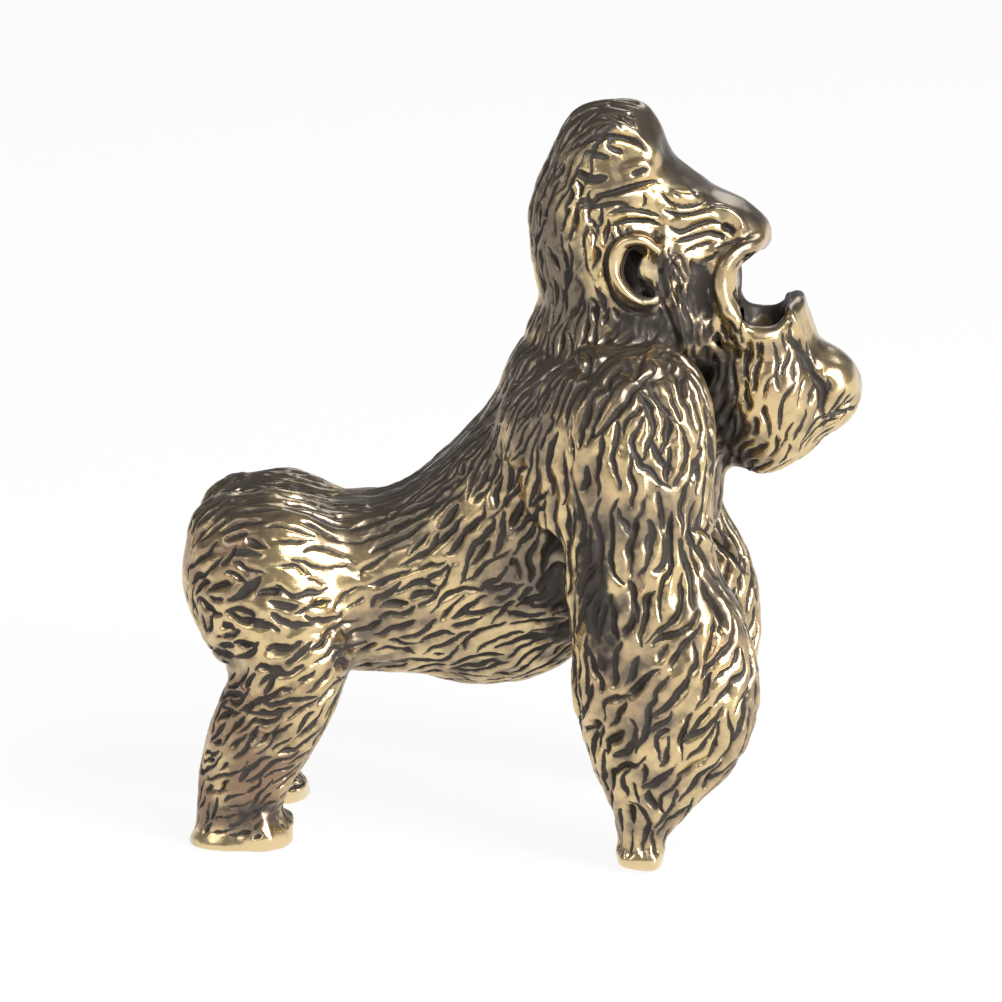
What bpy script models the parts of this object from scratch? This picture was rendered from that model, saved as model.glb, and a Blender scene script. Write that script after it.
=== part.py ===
"""A gorilla statue in antique brass, 50 mm tall, standing on its knuckles and roaring.

The figure faces +X, stands on z = 0 and is alike on both sides of the plane y = 0.
It is made as section castings: a torso, a head, a lower jaw, two ears, two arms, two hands,
two legs and two feet. Each casting seats on the one that carries it, and a round spigot in a
socket locates it there before the seam is brazed and chased.
Blender with --background --python part.py builds it, and so does Blender's text editor.
"""

import math

import bmesh
import bpy
from mathutils import Matrix, Vector

MM = 0.001

# Where the parts of the body stand, in millimetres: x runs forward, z up from the ground, and a
# track is the distance between left and right. The head is placed from the shoulders.
HAND_X = 8.4
HAND_TRACK = 18.6
HAND_HEIGHT = 1.5
SHOULDER_X = 7.6
SHOULDER_TRACK = 17.0
SHOULDER_HEIGHT = 32.4
FOOT_X = -18.2
FOOT_TRACK = 11.2
FOOT_HEIGHT = 1.4
HIP_X = -15.0
HIP_TRACK = 10.4
HIP_HEIGHT = 16.5
HEAD_SETBACK = 0.6
HEAD_RISE = 8.6
HEAD_WIDTH = 10.4

# The planes on which the head and the lower jaw sit, each through a point that is given forward
# and down from the head's place. The first crosses the spine and falls forward, the second passes
# the corners of the mouth and rises forward; both in degrees.
NECK_SEAT = (-4.0, -8.4)
NECK_FALL = 12.0
JAW_SEAT = (7.3, -6.2)
JAW_RISE = 59.0

# The clearance in every seam, and the radii of the spigots that cross them, in millimetres.
SEAM = 0.3
NECK_SPIGOT = 2.2
JAW_SPIGOT = 1.4
SHOULDER_SPIGOT = 1.8
HIP_SPIGOT = 1.5
WRIST_SPIGOT = 0.7
ANKLE_SPIGOT = 0.9
EAR_SPIGOT = 0.5

# How far each spigot runs on either side of its seam.
NECK_REACH = (1.5, 5.0)
JAW_REACH = (1.6, 2.8)
SHOULDER_REACH = (0.0, 4.7)
HIP_REACH = (2.0, 3.5)
WRIST_REACH = (0.8, 1.8)
ANKLE_REACH = (0.8, 2.2)
EAR_REACH = (0.2, 1.4)

# Where the spigots cross: forward and up from the neck's seat, the head, the shoulder and the hip.
NECK_CROSSING = (2.7, 0.0)
JAW_CROSSING = (5.4, -12.4)
SHOULDER_CROSSING = (0.0, -5.0)
HIP_CROSSING = (-1.0, -5.5)

# Hands: knuckles side by side, their tubes' reach in front of and behind the wrist, how much less
# the outer ones reach and how much higher they stand, and how flat they are worn on the ground.
KNUCKLES = 4
KNUCKLE_RADIUS = 0.75
KNUCKLE_SPACING = 0.85
KNUCKLE_REACH = (1.5, 1.5)
KNUCKLE_FALL_BACK = 0.25
KNUCKLE_ARCH = 0.1
KNUCKLE_WEAR = 0.12

# Feet: toes side by side, the first one's reach in front of the ankle, how much less each further
# one reaches, the share of its reach at which a toe leaves the foot, and the great toe's reach and
# place inward.
TOES = 4
TOE_RADIUS = 0.75
TOE_SPACING = 0.95
TOE_REACH = 3.1
TOE_FALL_BACK = 0.3
TOE_ROOT = 0.4
GREAT_TOE_REACH = 2.9
GREAT_TOE_ASIDE = 1.8

# Ears, with the rim's arc in degrees and its share of thickness at the top and at the lobe.
EAR_AHEAD = 0.9
EAR_OUT = -0.1
EAR_DROP = 1.9
EAR_RADII = (1.45, 1.9)
EAR_RIM = 0.45
EAR_STAND = 0.45
EAR_ARC = (35, 325)
EAR_RIM_SHARES = (0.85, 1.2)

# Lips and eyes.
LIP_RADIUS = 0.66
EYE = (0.7, 3.4, 4.1)
EYE_RADII = (1.15, 0.85, 0.75)

# The trunk is cast as two barrels, one on each side of the spine's furrow. A row for each section,
# the first rows forward and up from the hips and the others from the shoulders, then the radius
# across the back and the radius to the side.
BACK_SPREAD = 1.4
LOINS = (
    (-6.1, 2.6, 2.3, 2.4),
    (-3.1, 1.6, 4.7, 4.8),
    (1.5, 0.6, 5.7, 5.4),
    (6.5, 0.5, 6.1, 5.2),
)
CHEST = (
    (-11.6, -14.3, 7.0, 5.6),
    (-6.6, -11.6, 8.1, 6.3),
    (-2.5, -7.8, 8.7, 6.5),
    (-2.5, -3.0, 6.9, 5.7),
    (-1.5, 1.0, 5.5, 4.3),
    (-1.5, 3.2, 5.3, 3.7),
)

# The arm from shoulder to wrist: share of the way down, then forward and outward of the straight
# line between the two joints, radius fore and aft, radius to the side.
ARM = (
    (-0.06, -0.4, -1.2, 2.4, 2.0),
    (0.02, 0.0, -0.3, 4.8, 3.9),
    (0.15, 0.2, 0.3, 5.2, 4.5),
    (0.30, 0.1, 0.5, 4.8, 4.2),
    (0.45, 0.5, 0.6, 5.3, 4.2),
    (0.58, 1.6, 0.6, 6.1, 4.3),
    (0.71, 1.7, 0.5, 6.1, 4.0),
    (0.82, 1.0, 0.3, 4.7, 3.3),
    (0.90, 0.5, 0.1, 3.1, 2.5),
    (0.96, 0.1, 0.0, 1.9, 1.9),
    (1.02, 0.0, 0.0, 1.6, 1.7),
)

# The leg from hip to ankle, in the same terms.
LEG = (
    (-0.08, 0.0, -0.8, 4.0, 2.8),
    (0.13, 0.7, 0.0, 4.3, 3.8),
    (0.33, 0.9, 0.3, 3.8, 3.6),
    (0.53, 0.2, 0.2, 3.7, 3.1),
    (0.72, -0.5, 0.0, 3.3, 2.7),
    (0.86, -0.6, -0.1, 3.0, 2.3),
    (1.05, -0.4, -0.1, 2.9, 2.1),
)

# The skull from neck to crown: forward and up from the head's place, radius fore and aft, and
# radius to the side as a share of half the head's width.
SKULL = (
    (-0.6, -11.5, 5.9, 0.98),
    (-1.25, -8.4, 5.9, 1.06),
    (-0.5, -6.2, 5.0, 1.05),
    (-0.7, -4.4, 5.0, 1.02),
    (-1.4, -2.0, 5.0, 0.98),
    (-1.6, 0.6, 5.1, 0.97),
    (-1.25, 3.4, 4.5, 0.86),
    (-1.05, 6.0, 3.6, 0.63),
    (-0.9, 7.6, 2.75, 0.40),
    (-0.9, 8.4, 1.4, 0.20),
)

# The muzzle from cheekbones to upper lip: forward and up from the head's place, radius up and
# down, and radius to the side as a share of half the head's width.
MUZZLE = (
    (-2.0, 2.4, 4.6, 0.85),
    (1.5, 1.5, 3.5, 0.81),
    (4.5, 0.3, 2.8, 0.70),
    (6.8, 0.1, 2.1, 0.60),
    (8.4, -0.2, 1.3, 0.45),
    (9.4, -0.4, 0.5, 0.23),
)

# Rounded masses, a pair or one on the middle line each. A row is the place forward, aside and up
# from the joint or head that it belongs to, then the radii along x, y and z, and the pitch.
HIP_MASSES = (
    (-1.4, 3.1, 1.4, 6.2, 5.3, 5.9, 0),
    (-4.2, 2.9, 3.9, 3.0, 3.2, 3.1, 0),
    (-0.9, 4.4, -0.8, 5.5, 4.8, 5.0, 0),
)
SHOULDER_MASSES = (
    (-4.2, 4.8, -5.3, 4.6, 4.3, 5.5, 38),
    (0.2, 3.4, -10.6, 4.9, 4.3, 5.4, 0),
    (-10.2, 0.0, -18.0, 7.6, 5.6, 4.5, 0),
)
ARM_MASSES = ((-1.5, -2.3, -1.0, 3.6, 3.9, 2.9, 0),)
FACE_MASSES = (
    (1.8, 2.8, -1.6, 3.4, 2.0, 3.2, 0),
    (2.4, 2.8, -5.6, 3.8, 2.4, 3.8, 0),
    (4.7, 2.3, -4.6, 3.0, 1.9, 4.6, 0),
    (6.2, 2.0, 0.9, 1.2, 1.3, 1.0, 0),
    (0.9, 2.5, 5.0, 1.4, 1.2, 1.3, 0),
)
JAW_MASSES = (
    (12.2, 0.0, -10.7, 3.4, 3.4, 3.2, 0),
    (9.0, 2.0, -11.2, 3.9, 3.0, 5.0, 0),
    (6.0, 0.0, -11.2, 4.2, 4.0, 4.9, 0),
    (11.0, 0.0, -7.8, 1.5, 2.8, 3.1, 0),
    (8.6, 2.9, -7.6, 3.2, 1.2, 2.4, 0),
    (10.1, 0.0, -12.7, 3.3, 3.0, 3.1, 0),
)
HAND_MASSES = ((-0.1, 0.0, 1.3, 1.8, 1.7, 1.3, 0),)
FOOT_MASSES = (
    (-1.1, 0.0, 0.3, 2.7, 2.3, 1.3, 0),
    (1.0, 0.0, 0.4, 2.4, 2.4, 1.2, 0),
)

# Hollows in the face, in the same terms: the roof of the mouth, the eye sockets, the nostrils, the
# cheeks behind the upper lip's ridge, and the floor of the mouth in the lower jaw.
UPPER_MOUTH = (9.0, 0.0, -4.2, 3.6, 3.1, 3.5, 0)
EYE_SOCKET = (0.9, 4.3, 4.2, 1.5, 1.1, 1.0, 0)
NOSTRIL = (6.9, 2.3, 0.4, 0.7, 0.6, 0.5, 0)
CHEEK_HOLLOW = (4.9, 5.0, -3.7, 1.1, 1.2, 2.3, -12)
LOWER_MOUTH = (8.5, 0.0, -5.0, 2.5, 2.8, 3.6, 0)

# Bars along the face, on the right side up to the middle line: forward, aside and up from the
# head's place, and the bar's radius. The lips' radii are shares of the lip's.
BROW = (
    (-2.9, -3.7, 4.9, 0.65),
    (-1.8, -3.2, 6.1, 0.8),
    (-0.5, -2.6, 6.6, 0.9),
    (0.3, -1.4, 6.3, 0.95),
    (0.4, 0.0, 6.1, 0.95),
)
UPPER_LIP = (
    (8.0, -3.7, -6.6, 0.8),
    (7.0, -3.9, -5.2, 0.95),
    (6.5, -4.0, -3.4, 1.0),
    (6.7, -3.8, -1.9, 1.0),
    (7.9, -2.4, -0.9, 1.1),
    (8.8, 0.0, -0.7, 1.1),
)
LOWER_LIP = (
    (6.6, -3.5, -6.8, 0.8),
    (8.4, -3.6, -6.6, 0.9),
    (10.0, -3.1, -6.1, 0.95),
    (11.0, -1.8, -5.1, 1.0),
    (11.1, 0.0, -4.8, 1.0),
)

# How finely each casting is modelled, in millimetres, how many times its creases are softened, and
# how many triangles it keeps.
BODY_GRAIN = 0.55
LIMB_GRAIN = 0.4
FACE_GRAIN = 0.3
DIGIT_GRAIN = 0.25
EAR_GRAIN = 0.15
BODY_SOFTENING = 6
LIMB_SOFTENING = 4
DETAIL_SOFTENING = 3
EAR_SOFTENING = 2
TORSO_TRIANGLES = 2400
HEAD_TRIANGLES = 2600
JAW_TRIANGLES = 1500
ARM_TRIANGLES = 950
LEG_TRIANGLES = 650
HAND_TRIANGLES = 320
FOOT_TRIANGLES = 300
EAR_TRIANGLES = 300
CUTTER_TRIANGLES = 2400

BRASS = (0.72, 0.56, 0.30, 1.0)
WORN_BRASS = (0.80, 0.63, 0.35, 1.0)
FUR_ROUGHNESS = 0.34
WORN_ROUGHNESS = 0.2


def finish(name, colour, roughness):
    """Brass with its own colour and polish."""
    material = bpy.data.materials.new(name)
    material.use_nodes = True
    shader = material.node_tree.nodes["Principled BSDF"]
    shader.inputs["Base Color"].default_value = colour
    shader.inputs["Metallic"].default_value = 1.0
    shader.inputs["Roughness"].default_value = roughness
    return material


def along(rows, share):
    """The values at a share of the way along a table of sections, on a smooth curve through its rows."""
    last = len(rows) - 1
    place = max(0.0, min(share, 1.0)) * last
    row = min(int(place), last - 1)
    t = place - row
    near = [rows[max(0, min(last, row + step))] for step in (-1, 0, 1, 2)]
    return [
        0.5 * (2 * b + (c - a) * t + (2 * a - 5 * b + 4 * c - d) * t**2 + (3 * b - a - 3 * c + d) * t**3)
        for a, b, c, d in zip(*near, strict=True)
    ]


def skin(masses, loops):
    """Closes a row of equal loops of corners into one skin."""
    sides = len(loops[0])
    for lower, upper in zip(loops, loops[1:]):
        for side in range(sides):
            after = (side + 1) % sides
            masses.faces.new((lower[side], lower[after], upper[after], upper[side]))
    masses.faces.new(reversed(loops[0]))
    masses.faces.new(loops[-1])


def loft(masses, rows, rings=32, sides=24):
    """A closed skin through oval sections. A row is x, y, z, radius across the path, radius along y."""
    loops = []
    for ring in range(rings + 1):
        share = ring / rings
        x, y, z, deep, wide = along(rows, share)
        before = along(rows, share - 0.02)
        after = along(rows, share + 0.02)
        across = Vector((before[2] - after[2], 0, after[0] - before[0])).normalized()
        loop = []
        for side in range(sides):
            turn = math.tau * side / sides
            reach = across * deep * math.cos(turn) + Vector((0, wide * math.sin(turn), 0))
            loop.append(masses.verts.new(Vector((x, y, z)) + reach))
        loops.append(loop)
    skin(masses, loops)


def tube(masses, rows, rings=24, sides=12):
    """A closed round bar through points. A row is x, y, z, radius."""
    loops = []
    level = None
    for ring in range(rings + 1):
        share = ring / rings
        x, y, z, radius = along(rows, share)
        before = Vector(along(rows, share - 0.02)[:3])
        after = Vector(along(rows, share + 0.02)[:3])
        ahead = (after - before).normalized()
        if level is None:
            level = ahead.orthogonal()
        level = (level - ahead * level.dot(ahead)).normalized()
        upright = ahead.cross(level)
        loop = []
        for side in range(sides):
            turn = math.tau * side / sides
            reach = level * math.cos(turn) + upright * math.sin(turn)
            loop.append(masses.verts.new(Vector((x, y, z)) + reach * radius))
        loops.append(loop)
    skin(masses, loops)


def mass(masses, row, place, aside=1.0):
    """An ellipsoid from a row of a table, placed from a joint or the head."""
    forward, across, up, *radii, pitch = row
    centre = Vector(place) + Vector((forward, aside * across, up))
    turn = Matrix.Rotation(math.radians(-pitch), 3, "Y")
    bmesh.ops.create_icosphere(
        masses, subdivisions=3, radius=1.0, matrix=Matrix.LocRotScale(centre, turn, Vector(radii))
    )


def pair(masses, row, place):
    """The ellipsoid and its mirror image, or one on the middle line."""
    for aside in (1.0, -1.0) if row[1] else (1.0,):
        mass(masses, row, place, aside)


def hollow(shape, row, place):
    """Cuts a table row's ellipsoids out of the object."""
    for aside in (1.0, -1.0) if row[1] else (1.0,):
        cutter = bmesh.new()
        mass(cutter, row, place, aside)
        cut(shape, body_of("hollow", cutter))


def around(rows, place, thickness=1.0):
    """A bar's path from its table, carried on from the right side to its mirror image on the left."""
    x, y, z = place
    right = [(x + forward, y + aside, z + up, radius * thickness) for forward, aside, up, radius in rows]
    left = [(a, -b, c, radius) for a, b, c, radius in reversed(right) if b]
    return right + left


def body_of(name, masses):
    """An object from masses given in millimetres, with its faces pointing out."""
    bmesh.ops.recalc_face_normals(masses, faces=masses.faces)
    bmesh.ops.scale(masses, vec=(MM, MM, MM), verts=masses.verts)
    mesh = bpy.data.meshes.new(name)
    masses.to_mesh(mesh)
    masses.free()
    shape = bpy.data.objects.new(name, mesh)
    bpy.context.scene.collection.objects.link(shape)
    return shape


def settle(shape):
    """Gives the object the mesh that its modifiers make, and clears them."""
    bpy.context.view_layer.update()
    graph = bpy.context.evaluated_depsgraph_get()
    made = bpy.data.meshes.new_from_object(shape.evaluated_get(graph))
    shape.modifiers.clear()
    shape.data = made
    return shape


def run_together(shape, grain, softening):
    """Makes overlapping masses one skin, grain mm fine, and softens the creases where they meet."""
    remesh = shape.modifiers.new("one skin", "REMESH")
    remesh.mode = "VOXEL"
    remesh.voxel_size = grain * MM
    if softening:
        soften = shape.modifiers.new("softened", "SMOOTH")
        soften.factor = 0.5
        soften.iterations = softening
    return settle(shape)


def thin_out(shape, triangles):
    """Keeps about so many triangles, where the form needs them most."""
    shape.data.calc_loop_triangles()
    thinner = shape.modifiers.new("thinned", "DECIMATE")
    thinner.ratio = min(1.0, triangles / len(shape.data.loop_triangles))
    return settle(shape)


def combine(shape, other, operation):
    """Does a Boolean step on the object with another solid, which it uses up."""
    step = shape.modifiers.new(operation.lower(), "BOOLEAN")
    step.operation = operation
    step.solver = "EXACT"
    step.object = other
    settle(shape)
    bpy.data.objects.remove(other)
    return shape


def cut(shape, cutter):
    """Takes the cutter's space out of the object."""
    return combine(shape, cutter, "DIFFERENCE")


def join(shape, other):
    """Adds the other solid to the object."""
    return combine(shape, other, "UNION")


def grown(shape, by):
    """A copy of the object, larger all round by so many mm."""
    copy = bpy.data.objects.new(shape.name + " grown", shape.data.copy())
    bpy.context.scene.collection.objects.link(copy)
    normals = [vertex.normal.copy() for vertex in copy.data.vertices]
    for vertex, normal in zip(copy.data.vertices, normals, strict=True):
        vertex.co += normal * by * MM
    return thin_out(run_together(copy, LIMB_GRAIN, 0), CUTTER_TRIANGLES)


def seat(shape, *carriers):
    """Cuts the object to the surface of what carries it, a seam's width clear."""
    for carrier in carriers:
        cut(shape, grown(carrier, SEAM))
    return shape


def bar(name, start, end, radius, sides=12):
    """A round bar between two points in millimetres."""
    masses = bmesh.new()
    start = Vector(start)
    end = Vector(end)
    turn = (end - start).to_track_quat("Z", "Y")
    place = Matrix.LocRotScale((start + end) / 2, turn, None)
    length = (end - start).length
    bmesh.ops.create_cone(
        masses, cap_ends=True, segments=sides, radius1=radius, radius2=radius, depth=length, matrix=place
    )
    return body_of(name, masses)


def spigot(shape, carrier, seam, way, reach, radius):
    """A round spigot on the object, across the seam, and its socket in the casting that carries it.
    The way runs into the carrier, and the reach is the spigot's length on either side of the seam."""
    seam = Vector(seam)
    way = Vector(way)
    root = seam - way * reach[0]
    tip = seam + way * reach[1]
    cut(carrier, bar("socket", root, tip + way * SEAM, radius + SEAM))
    join(shape, bar("spigot", root, tip, radius))


def slab(name, point, pitch, side):
    """A large block with one face through the point, nose up by pitch degrees, that face down
    where side is 1 and up where it is -1."""
    masses = bmesh.new()
    size = 80.0
    turn = Matrix.Rotation(math.radians(-pitch), 3, "Y")
    centre = Vector(point) + turn @ Vector((0, 0, side * size / 2))
    bmesh.ops.create_cube(masses, size=size, matrix=Matrix.LocRotScale(centre, turn, None))
    return body_of(name, masses)


def head_place():
    """The middle of the head, placed from the shoulders that carry it."""
    return SHOULDER_X - HEAD_SETBACK, 0.0, SHOULDER_HEIGHT + HEAD_RISE


def near_head(place):
    """A point on the middle plane, given forward and up from the head's place."""
    forward, up = place
    return Vector(head_place()) + Vector((forward, 0, up))


def limb_rows(table, top, bottom, side):
    """A limb's sections in the figure's frame, from its table and its two joints."""
    rows = []
    for share, forward, outward, deep, wide in table:
        x, y, z = (a + (b - a) * share for a, b in zip(top, bottom, strict=True))
        rows.append((x + forward, side * (y + outward), z, deep, wide))
    return rows


def trunk_rows(spread):
    """One barrel's sections in the figure's frame, so far to the side of the spine."""
    loins = [(HIP_X + forward, spread, HIP_HEIGHT + up, deep, wide) for forward, up, deep, wide in LOINS]
    chest = [
        (SHOULDER_X + forward, spread, SHOULDER_HEIGHT + up, deep, wide)
        for forward, up, deep, wide in CHEST
    ]
    return loins + chest


def make_torso():
    """Rump, back, chest and belly, up to the neck."""
    masses = bmesh.new()
    for spread in (-BACK_SPREAD, BACK_SPREAD):
        loft(masses, trunk_rows(spread), rings=40)
    for row in HIP_MASSES:
        pair(masses, row, (HIP_X, 0, HIP_HEIGHT))
    for row in SHOULDER_MASSES:
        pair(masses, row, (SHOULDER_X, 0, SHOULDER_HEIGHT))
    return run_together(body_of("torso", masses), BODY_GRAIN, BODY_SOFTENING)


def make_head():
    """The skull with its brow, muzzle and upper lip, over the roof of the open mouth."""
    middle = head_place()
    x, y, z = middle
    masses = bmesh.new()
    for table in (SKULL, MUZZLE):
        rows = [(x + forward, y, z + up, deep, share * HEAD_WIDTH / 2) for forward, up, deep, share in table]
        loft(masses, rows)
    tube(masses, around(BROW, middle))
    for row in FACE_MASSES:
        pair(masses, row, middle)
    head = run_together(body_of("head", masses), LIMB_GRAIN, LIMB_SOFTENING)
    for row in (UPPER_MOUTH, EYE_SOCKET, NOSTRIL, CHEEK_HOLLOW):
        hollow(head, row, middle)
    additions = bmesh.new()
    tube(additions, around(UPPER_LIP, middle, LIP_RADIUS), rings=60)
    join(head, body_of("upper lip", additions))
    for side in (-1, 1):
        additions = bmesh.new()
        mass(additions, (*EYE, *EYE_RADII, 0), middle, side)
        join(head, body_of("eye", additions))
    return run_together(head, FACE_GRAIN, DETAIL_SOFTENING)


def make_jaw():
    """The dropped lower jaw: chin, jowls, throat and the lower lip round the floor of the mouth."""
    middle = head_place()
    masses = bmesh.new()
    for row in JAW_MASSES:
        pair(masses, row, middle)
    jaw = run_together(body_of("lower_jaw", masses), LIMB_GRAIN, LIMB_SOFTENING)
    hollow(jaw, LOWER_MOUTH, middle)
    lip = bmesh.new()
    tube(lip, around(LOWER_LIP, middle, LIP_RADIUS), rings=60)
    join(jaw, body_of("lower lip", lip))
    return run_together(jaw, FACE_GRAIN, DETAIL_SOFTENING)


def make_arm(name, side):
    """A straight arm under a sloping shoulder, heaviest at the forearm and drawn in to the wrist."""
    top = (SHOULDER_X, SHOULDER_TRACK / 2, SHOULDER_HEIGHT)
    bottom = (HAND_X, HAND_TRACK / 2, HAND_HEIGHT)
    masses = bmesh.new()
    loft(masses, limb_rows(ARM, top, bottom, side), rings=36)
    for row in ARM_MASSES:
        mass(masses, row, (SHOULDER_X, side * SHOULDER_TRACK / 2, SHOULDER_HEIGHT), side)
    return run_together(body_of(name, masses), LIMB_GRAIN, LIMB_SOFTENING)


def make_leg(name, side):
    """A leg from the thigh under the haunch to the ankle."""
    top = (HIP_X, HIP_TRACK / 2, HIP_HEIGHT)
    bottom = (FOOT_X, FOOT_TRACK / 2, FOOT_HEIGHT)
    masses = bmesh.new()
    loft(masses, limb_rows(LEG, top, bottom, side), rings=30)
    return run_together(body_of(name, masses), LIMB_GRAIN, LIMB_SOFTENING)


def make_hand(name, side):
    """A closed hand: knuckles side by side under the wrist, those in the middle further forward."""
    middle = side * HAND_TRACK / 2
    ahead, behind = KNUCKLE_REACH
    masses = bmesh.new()
    for knuckle in range(KNUCKLES):
        place = knuckle - (KNUCKLES - 1) / 2
        y = middle + side * place * KNUCKLE_SPACING
        z = KNUCKLE_RADIUS - KNUCKLE_WEAR + KNUCKLE_ARCH * place**2
        reach = ahead - KNUCKLE_FALL_BACK * abs(place)
        tube(masses, [
            (HAND_X - behind, y, z + 0.2 * KNUCKLE_RADIUS, 0.8 * KNUCKLE_RADIUS),
            (HAND_X, y, z, KNUCKLE_RADIUS),
            (HAND_X + reach, y, z, KNUCKLE_RADIUS),
        ])
    for row in HAND_MASSES:
        mass(masses, row, (HAND_X, middle, 0))
    return run_together(body_of(name, masses), DIGIT_GRAIN, DETAIL_SOFTENING)


def add_toe(masses, root, tip, reach, radius):
    """One toe, arched from the ball of the foot to its tip, and worn flat underneath."""
    tube(masses, [
        (FOOT_X + TOE_ROOT * reach, root, 1.2 * radius, radius),
        (FOOT_X + reach - 0.8 * radius, tip, 1.6 * radius, radius),
        (FOOT_X + reach, tip, 1.1 * radius, 0.95 * radius),
    ])


def make_foot(name, side):
    """A bare sole under the ankle, with a row of toes in front and the great toe set inward."""
    middle = side * FOOT_TRACK / 2
    masses = bmesh.new()
    for row in FOOT_MASSES:
        mass(masses, row, (FOOT_X, middle, 0))
    for toe in range(TOES):
        y = middle + side * (toe - 1) * TOE_SPACING
        add_toe(masses, y, y, TOE_REACH - TOE_FALL_BACK * toe, TOE_RADIUS)
    inner = middle - side * GREAT_TOE_ASIDE
    add_toe(masses, inner + side * TOE_RADIUS, inner, GREAT_TOE_REACH, 1.1 * TOE_RADIUS)
    return run_together(body_of(name, masses), DIGIT_GRAIN, DETAIL_SOFTENING)


def ear_place():
    """The middle of an ear: forward, aside and up."""
    x, y, z = head_place()
    return x + EAR_AHEAD, HEAD_WIDTH / 2 + EAR_OUT, z - EAR_DROP


def make_ear(name, side):
    """An ear with a rolled rim round its hollow, open to the front."""
    x, y, z = ear_place()
    wide, tall = EAR_RADII
    first, last = EAR_ARC
    thin, thick = EAR_RIM_SHARES
    steps = 10
    rim = []
    for step in range(steps + 1):
        share = step / steps
        turn = math.radians(first + (last - first) * share)
        thickness = EAR_RIM * (thin + (thick - thin) * share)
        rim.append((x + wide * math.cos(turn), side * (y + EAR_STAND), z + tall * math.sin(turn), thickness))
    masses = bmesh.new()
    tube(masses, rim, rings=40)
    mass(masses, (0, y, 0, wide, 1.4 * EAR_RIM, tall, 0), (x, 0, z), side)
    return run_together(body_of(name, masses), EAR_GRAIN, EAR_SOFTENING)


def make_side(prefix, side, torso, head):
    """The castings of one side, seated on the torso, on the head and on one another."""
    ear = thin_out(make_ear(f"{prefix}_ear", side), EAR_TRIANGLES)
    arm = thin_out(make_arm(f"{prefix}_arm", side), ARM_TRIANGLES)
    seat(arm, torso, head, ear)
    cut(arm, slab("wrist", (0, 0, HAND_HEIGHT), 0.0, -1))
    leg = thin_out(make_leg(f"{prefix}_leg", side), LEG_TRIANGLES)
    seat(leg, torso)
    cut(leg, slab("ankle", (0, 0, FOOT_HEIGHT), 0.0, -1))
    hand = thin_out(make_hand(f"{prefix}_hand", side), HAND_TRIANGLES)
    cut(hand, slab("wrist", (0, 0, HAND_HEIGHT - SEAM), 0.0, 1))
    cut(hand, slab("ground", (0, 0, 0), 0.0, -1))
    foot = thin_out(make_foot(f"{prefix}_foot", side), FOOT_TRIANGLES)
    seat(foot, leg)
    cut(foot, slab("ground", (0, 0, 0), 0.0, -1))
    seat(ear, head)
    return arm, leg, hand, foot, ear


def locate_side(side, torso, head, arm, leg, hand, foot, ear):
    """Spigots and sockets between the castings of one side."""
    ahead, up = SHOULDER_CROSSING
    shoulder = (SHOULDER_X + ahead, side * SHOULDER_TRACK / 2, SHOULDER_HEIGHT + up)
    spigot(arm, torso, shoulder, (0, -side, 0), SHOULDER_REACH, SHOULDER_SPIGOT)
    ahead, up = HIP_CROSSING
    hip = (HIP_X + ahead, side * HIP_TRACK / 2, HIP_HEIGHT + up)
    spigot(leg, torso, hip, (0, 0, 1), HIP_REACH, HIP_SPIGOT)
    wrist = (HAND_X, side * HAND_TRACK / 2, HAND_HEIGHT)
    spigot(hand, arm, wrist, (0, 0, 1), WRIST_REACH, WRIST_SPIGOT)
    ankle = (FOOT_X, side * FOOT_TRACK / 2, FOOT_HEIGHT)
    spigot(foot, leg, ankle, (0, 0, 1), ANKLE_REACH, ANKLE_SPIGOT)
    x, y, z = ear_place()
    spigot(ear, head, (x, side * y, z), (0, -side, 0), EAR_REACH, EAR_SPIGOT)


def box(castings):
    """The lowest and the highest corner of the box round some castings."""
    corners = [vertex.co for shape in castings for vertex in shape.data.vertices]
    low = Vector(min(corner[axis] for corner in corners) for axis in range(3))
    high = Vector(max(corner[axis] for corner in corners) for axis in range(3))
    return low, high


def centre(castings):
    """Shifts the whole figure so that the middle of its footprint is the origin."""
    low, high = box(castings)
    shift = Vector((-(low.x + high.x) / 2, -(low.y + high.y) / 2, -low.z))
    for shape in castings:
        shape.data.transform(Matrix.Translation(shift))


def place(shape, parent):
    """Gives the casting its origin at the middle of its own box, and its parent."""
    low, high = box([shape])
    middle = (low + high) / 2
    shape.data.transform(Matrix.Translation(-middle))
    shape.location = middle
    shape.parent = parent


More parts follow.
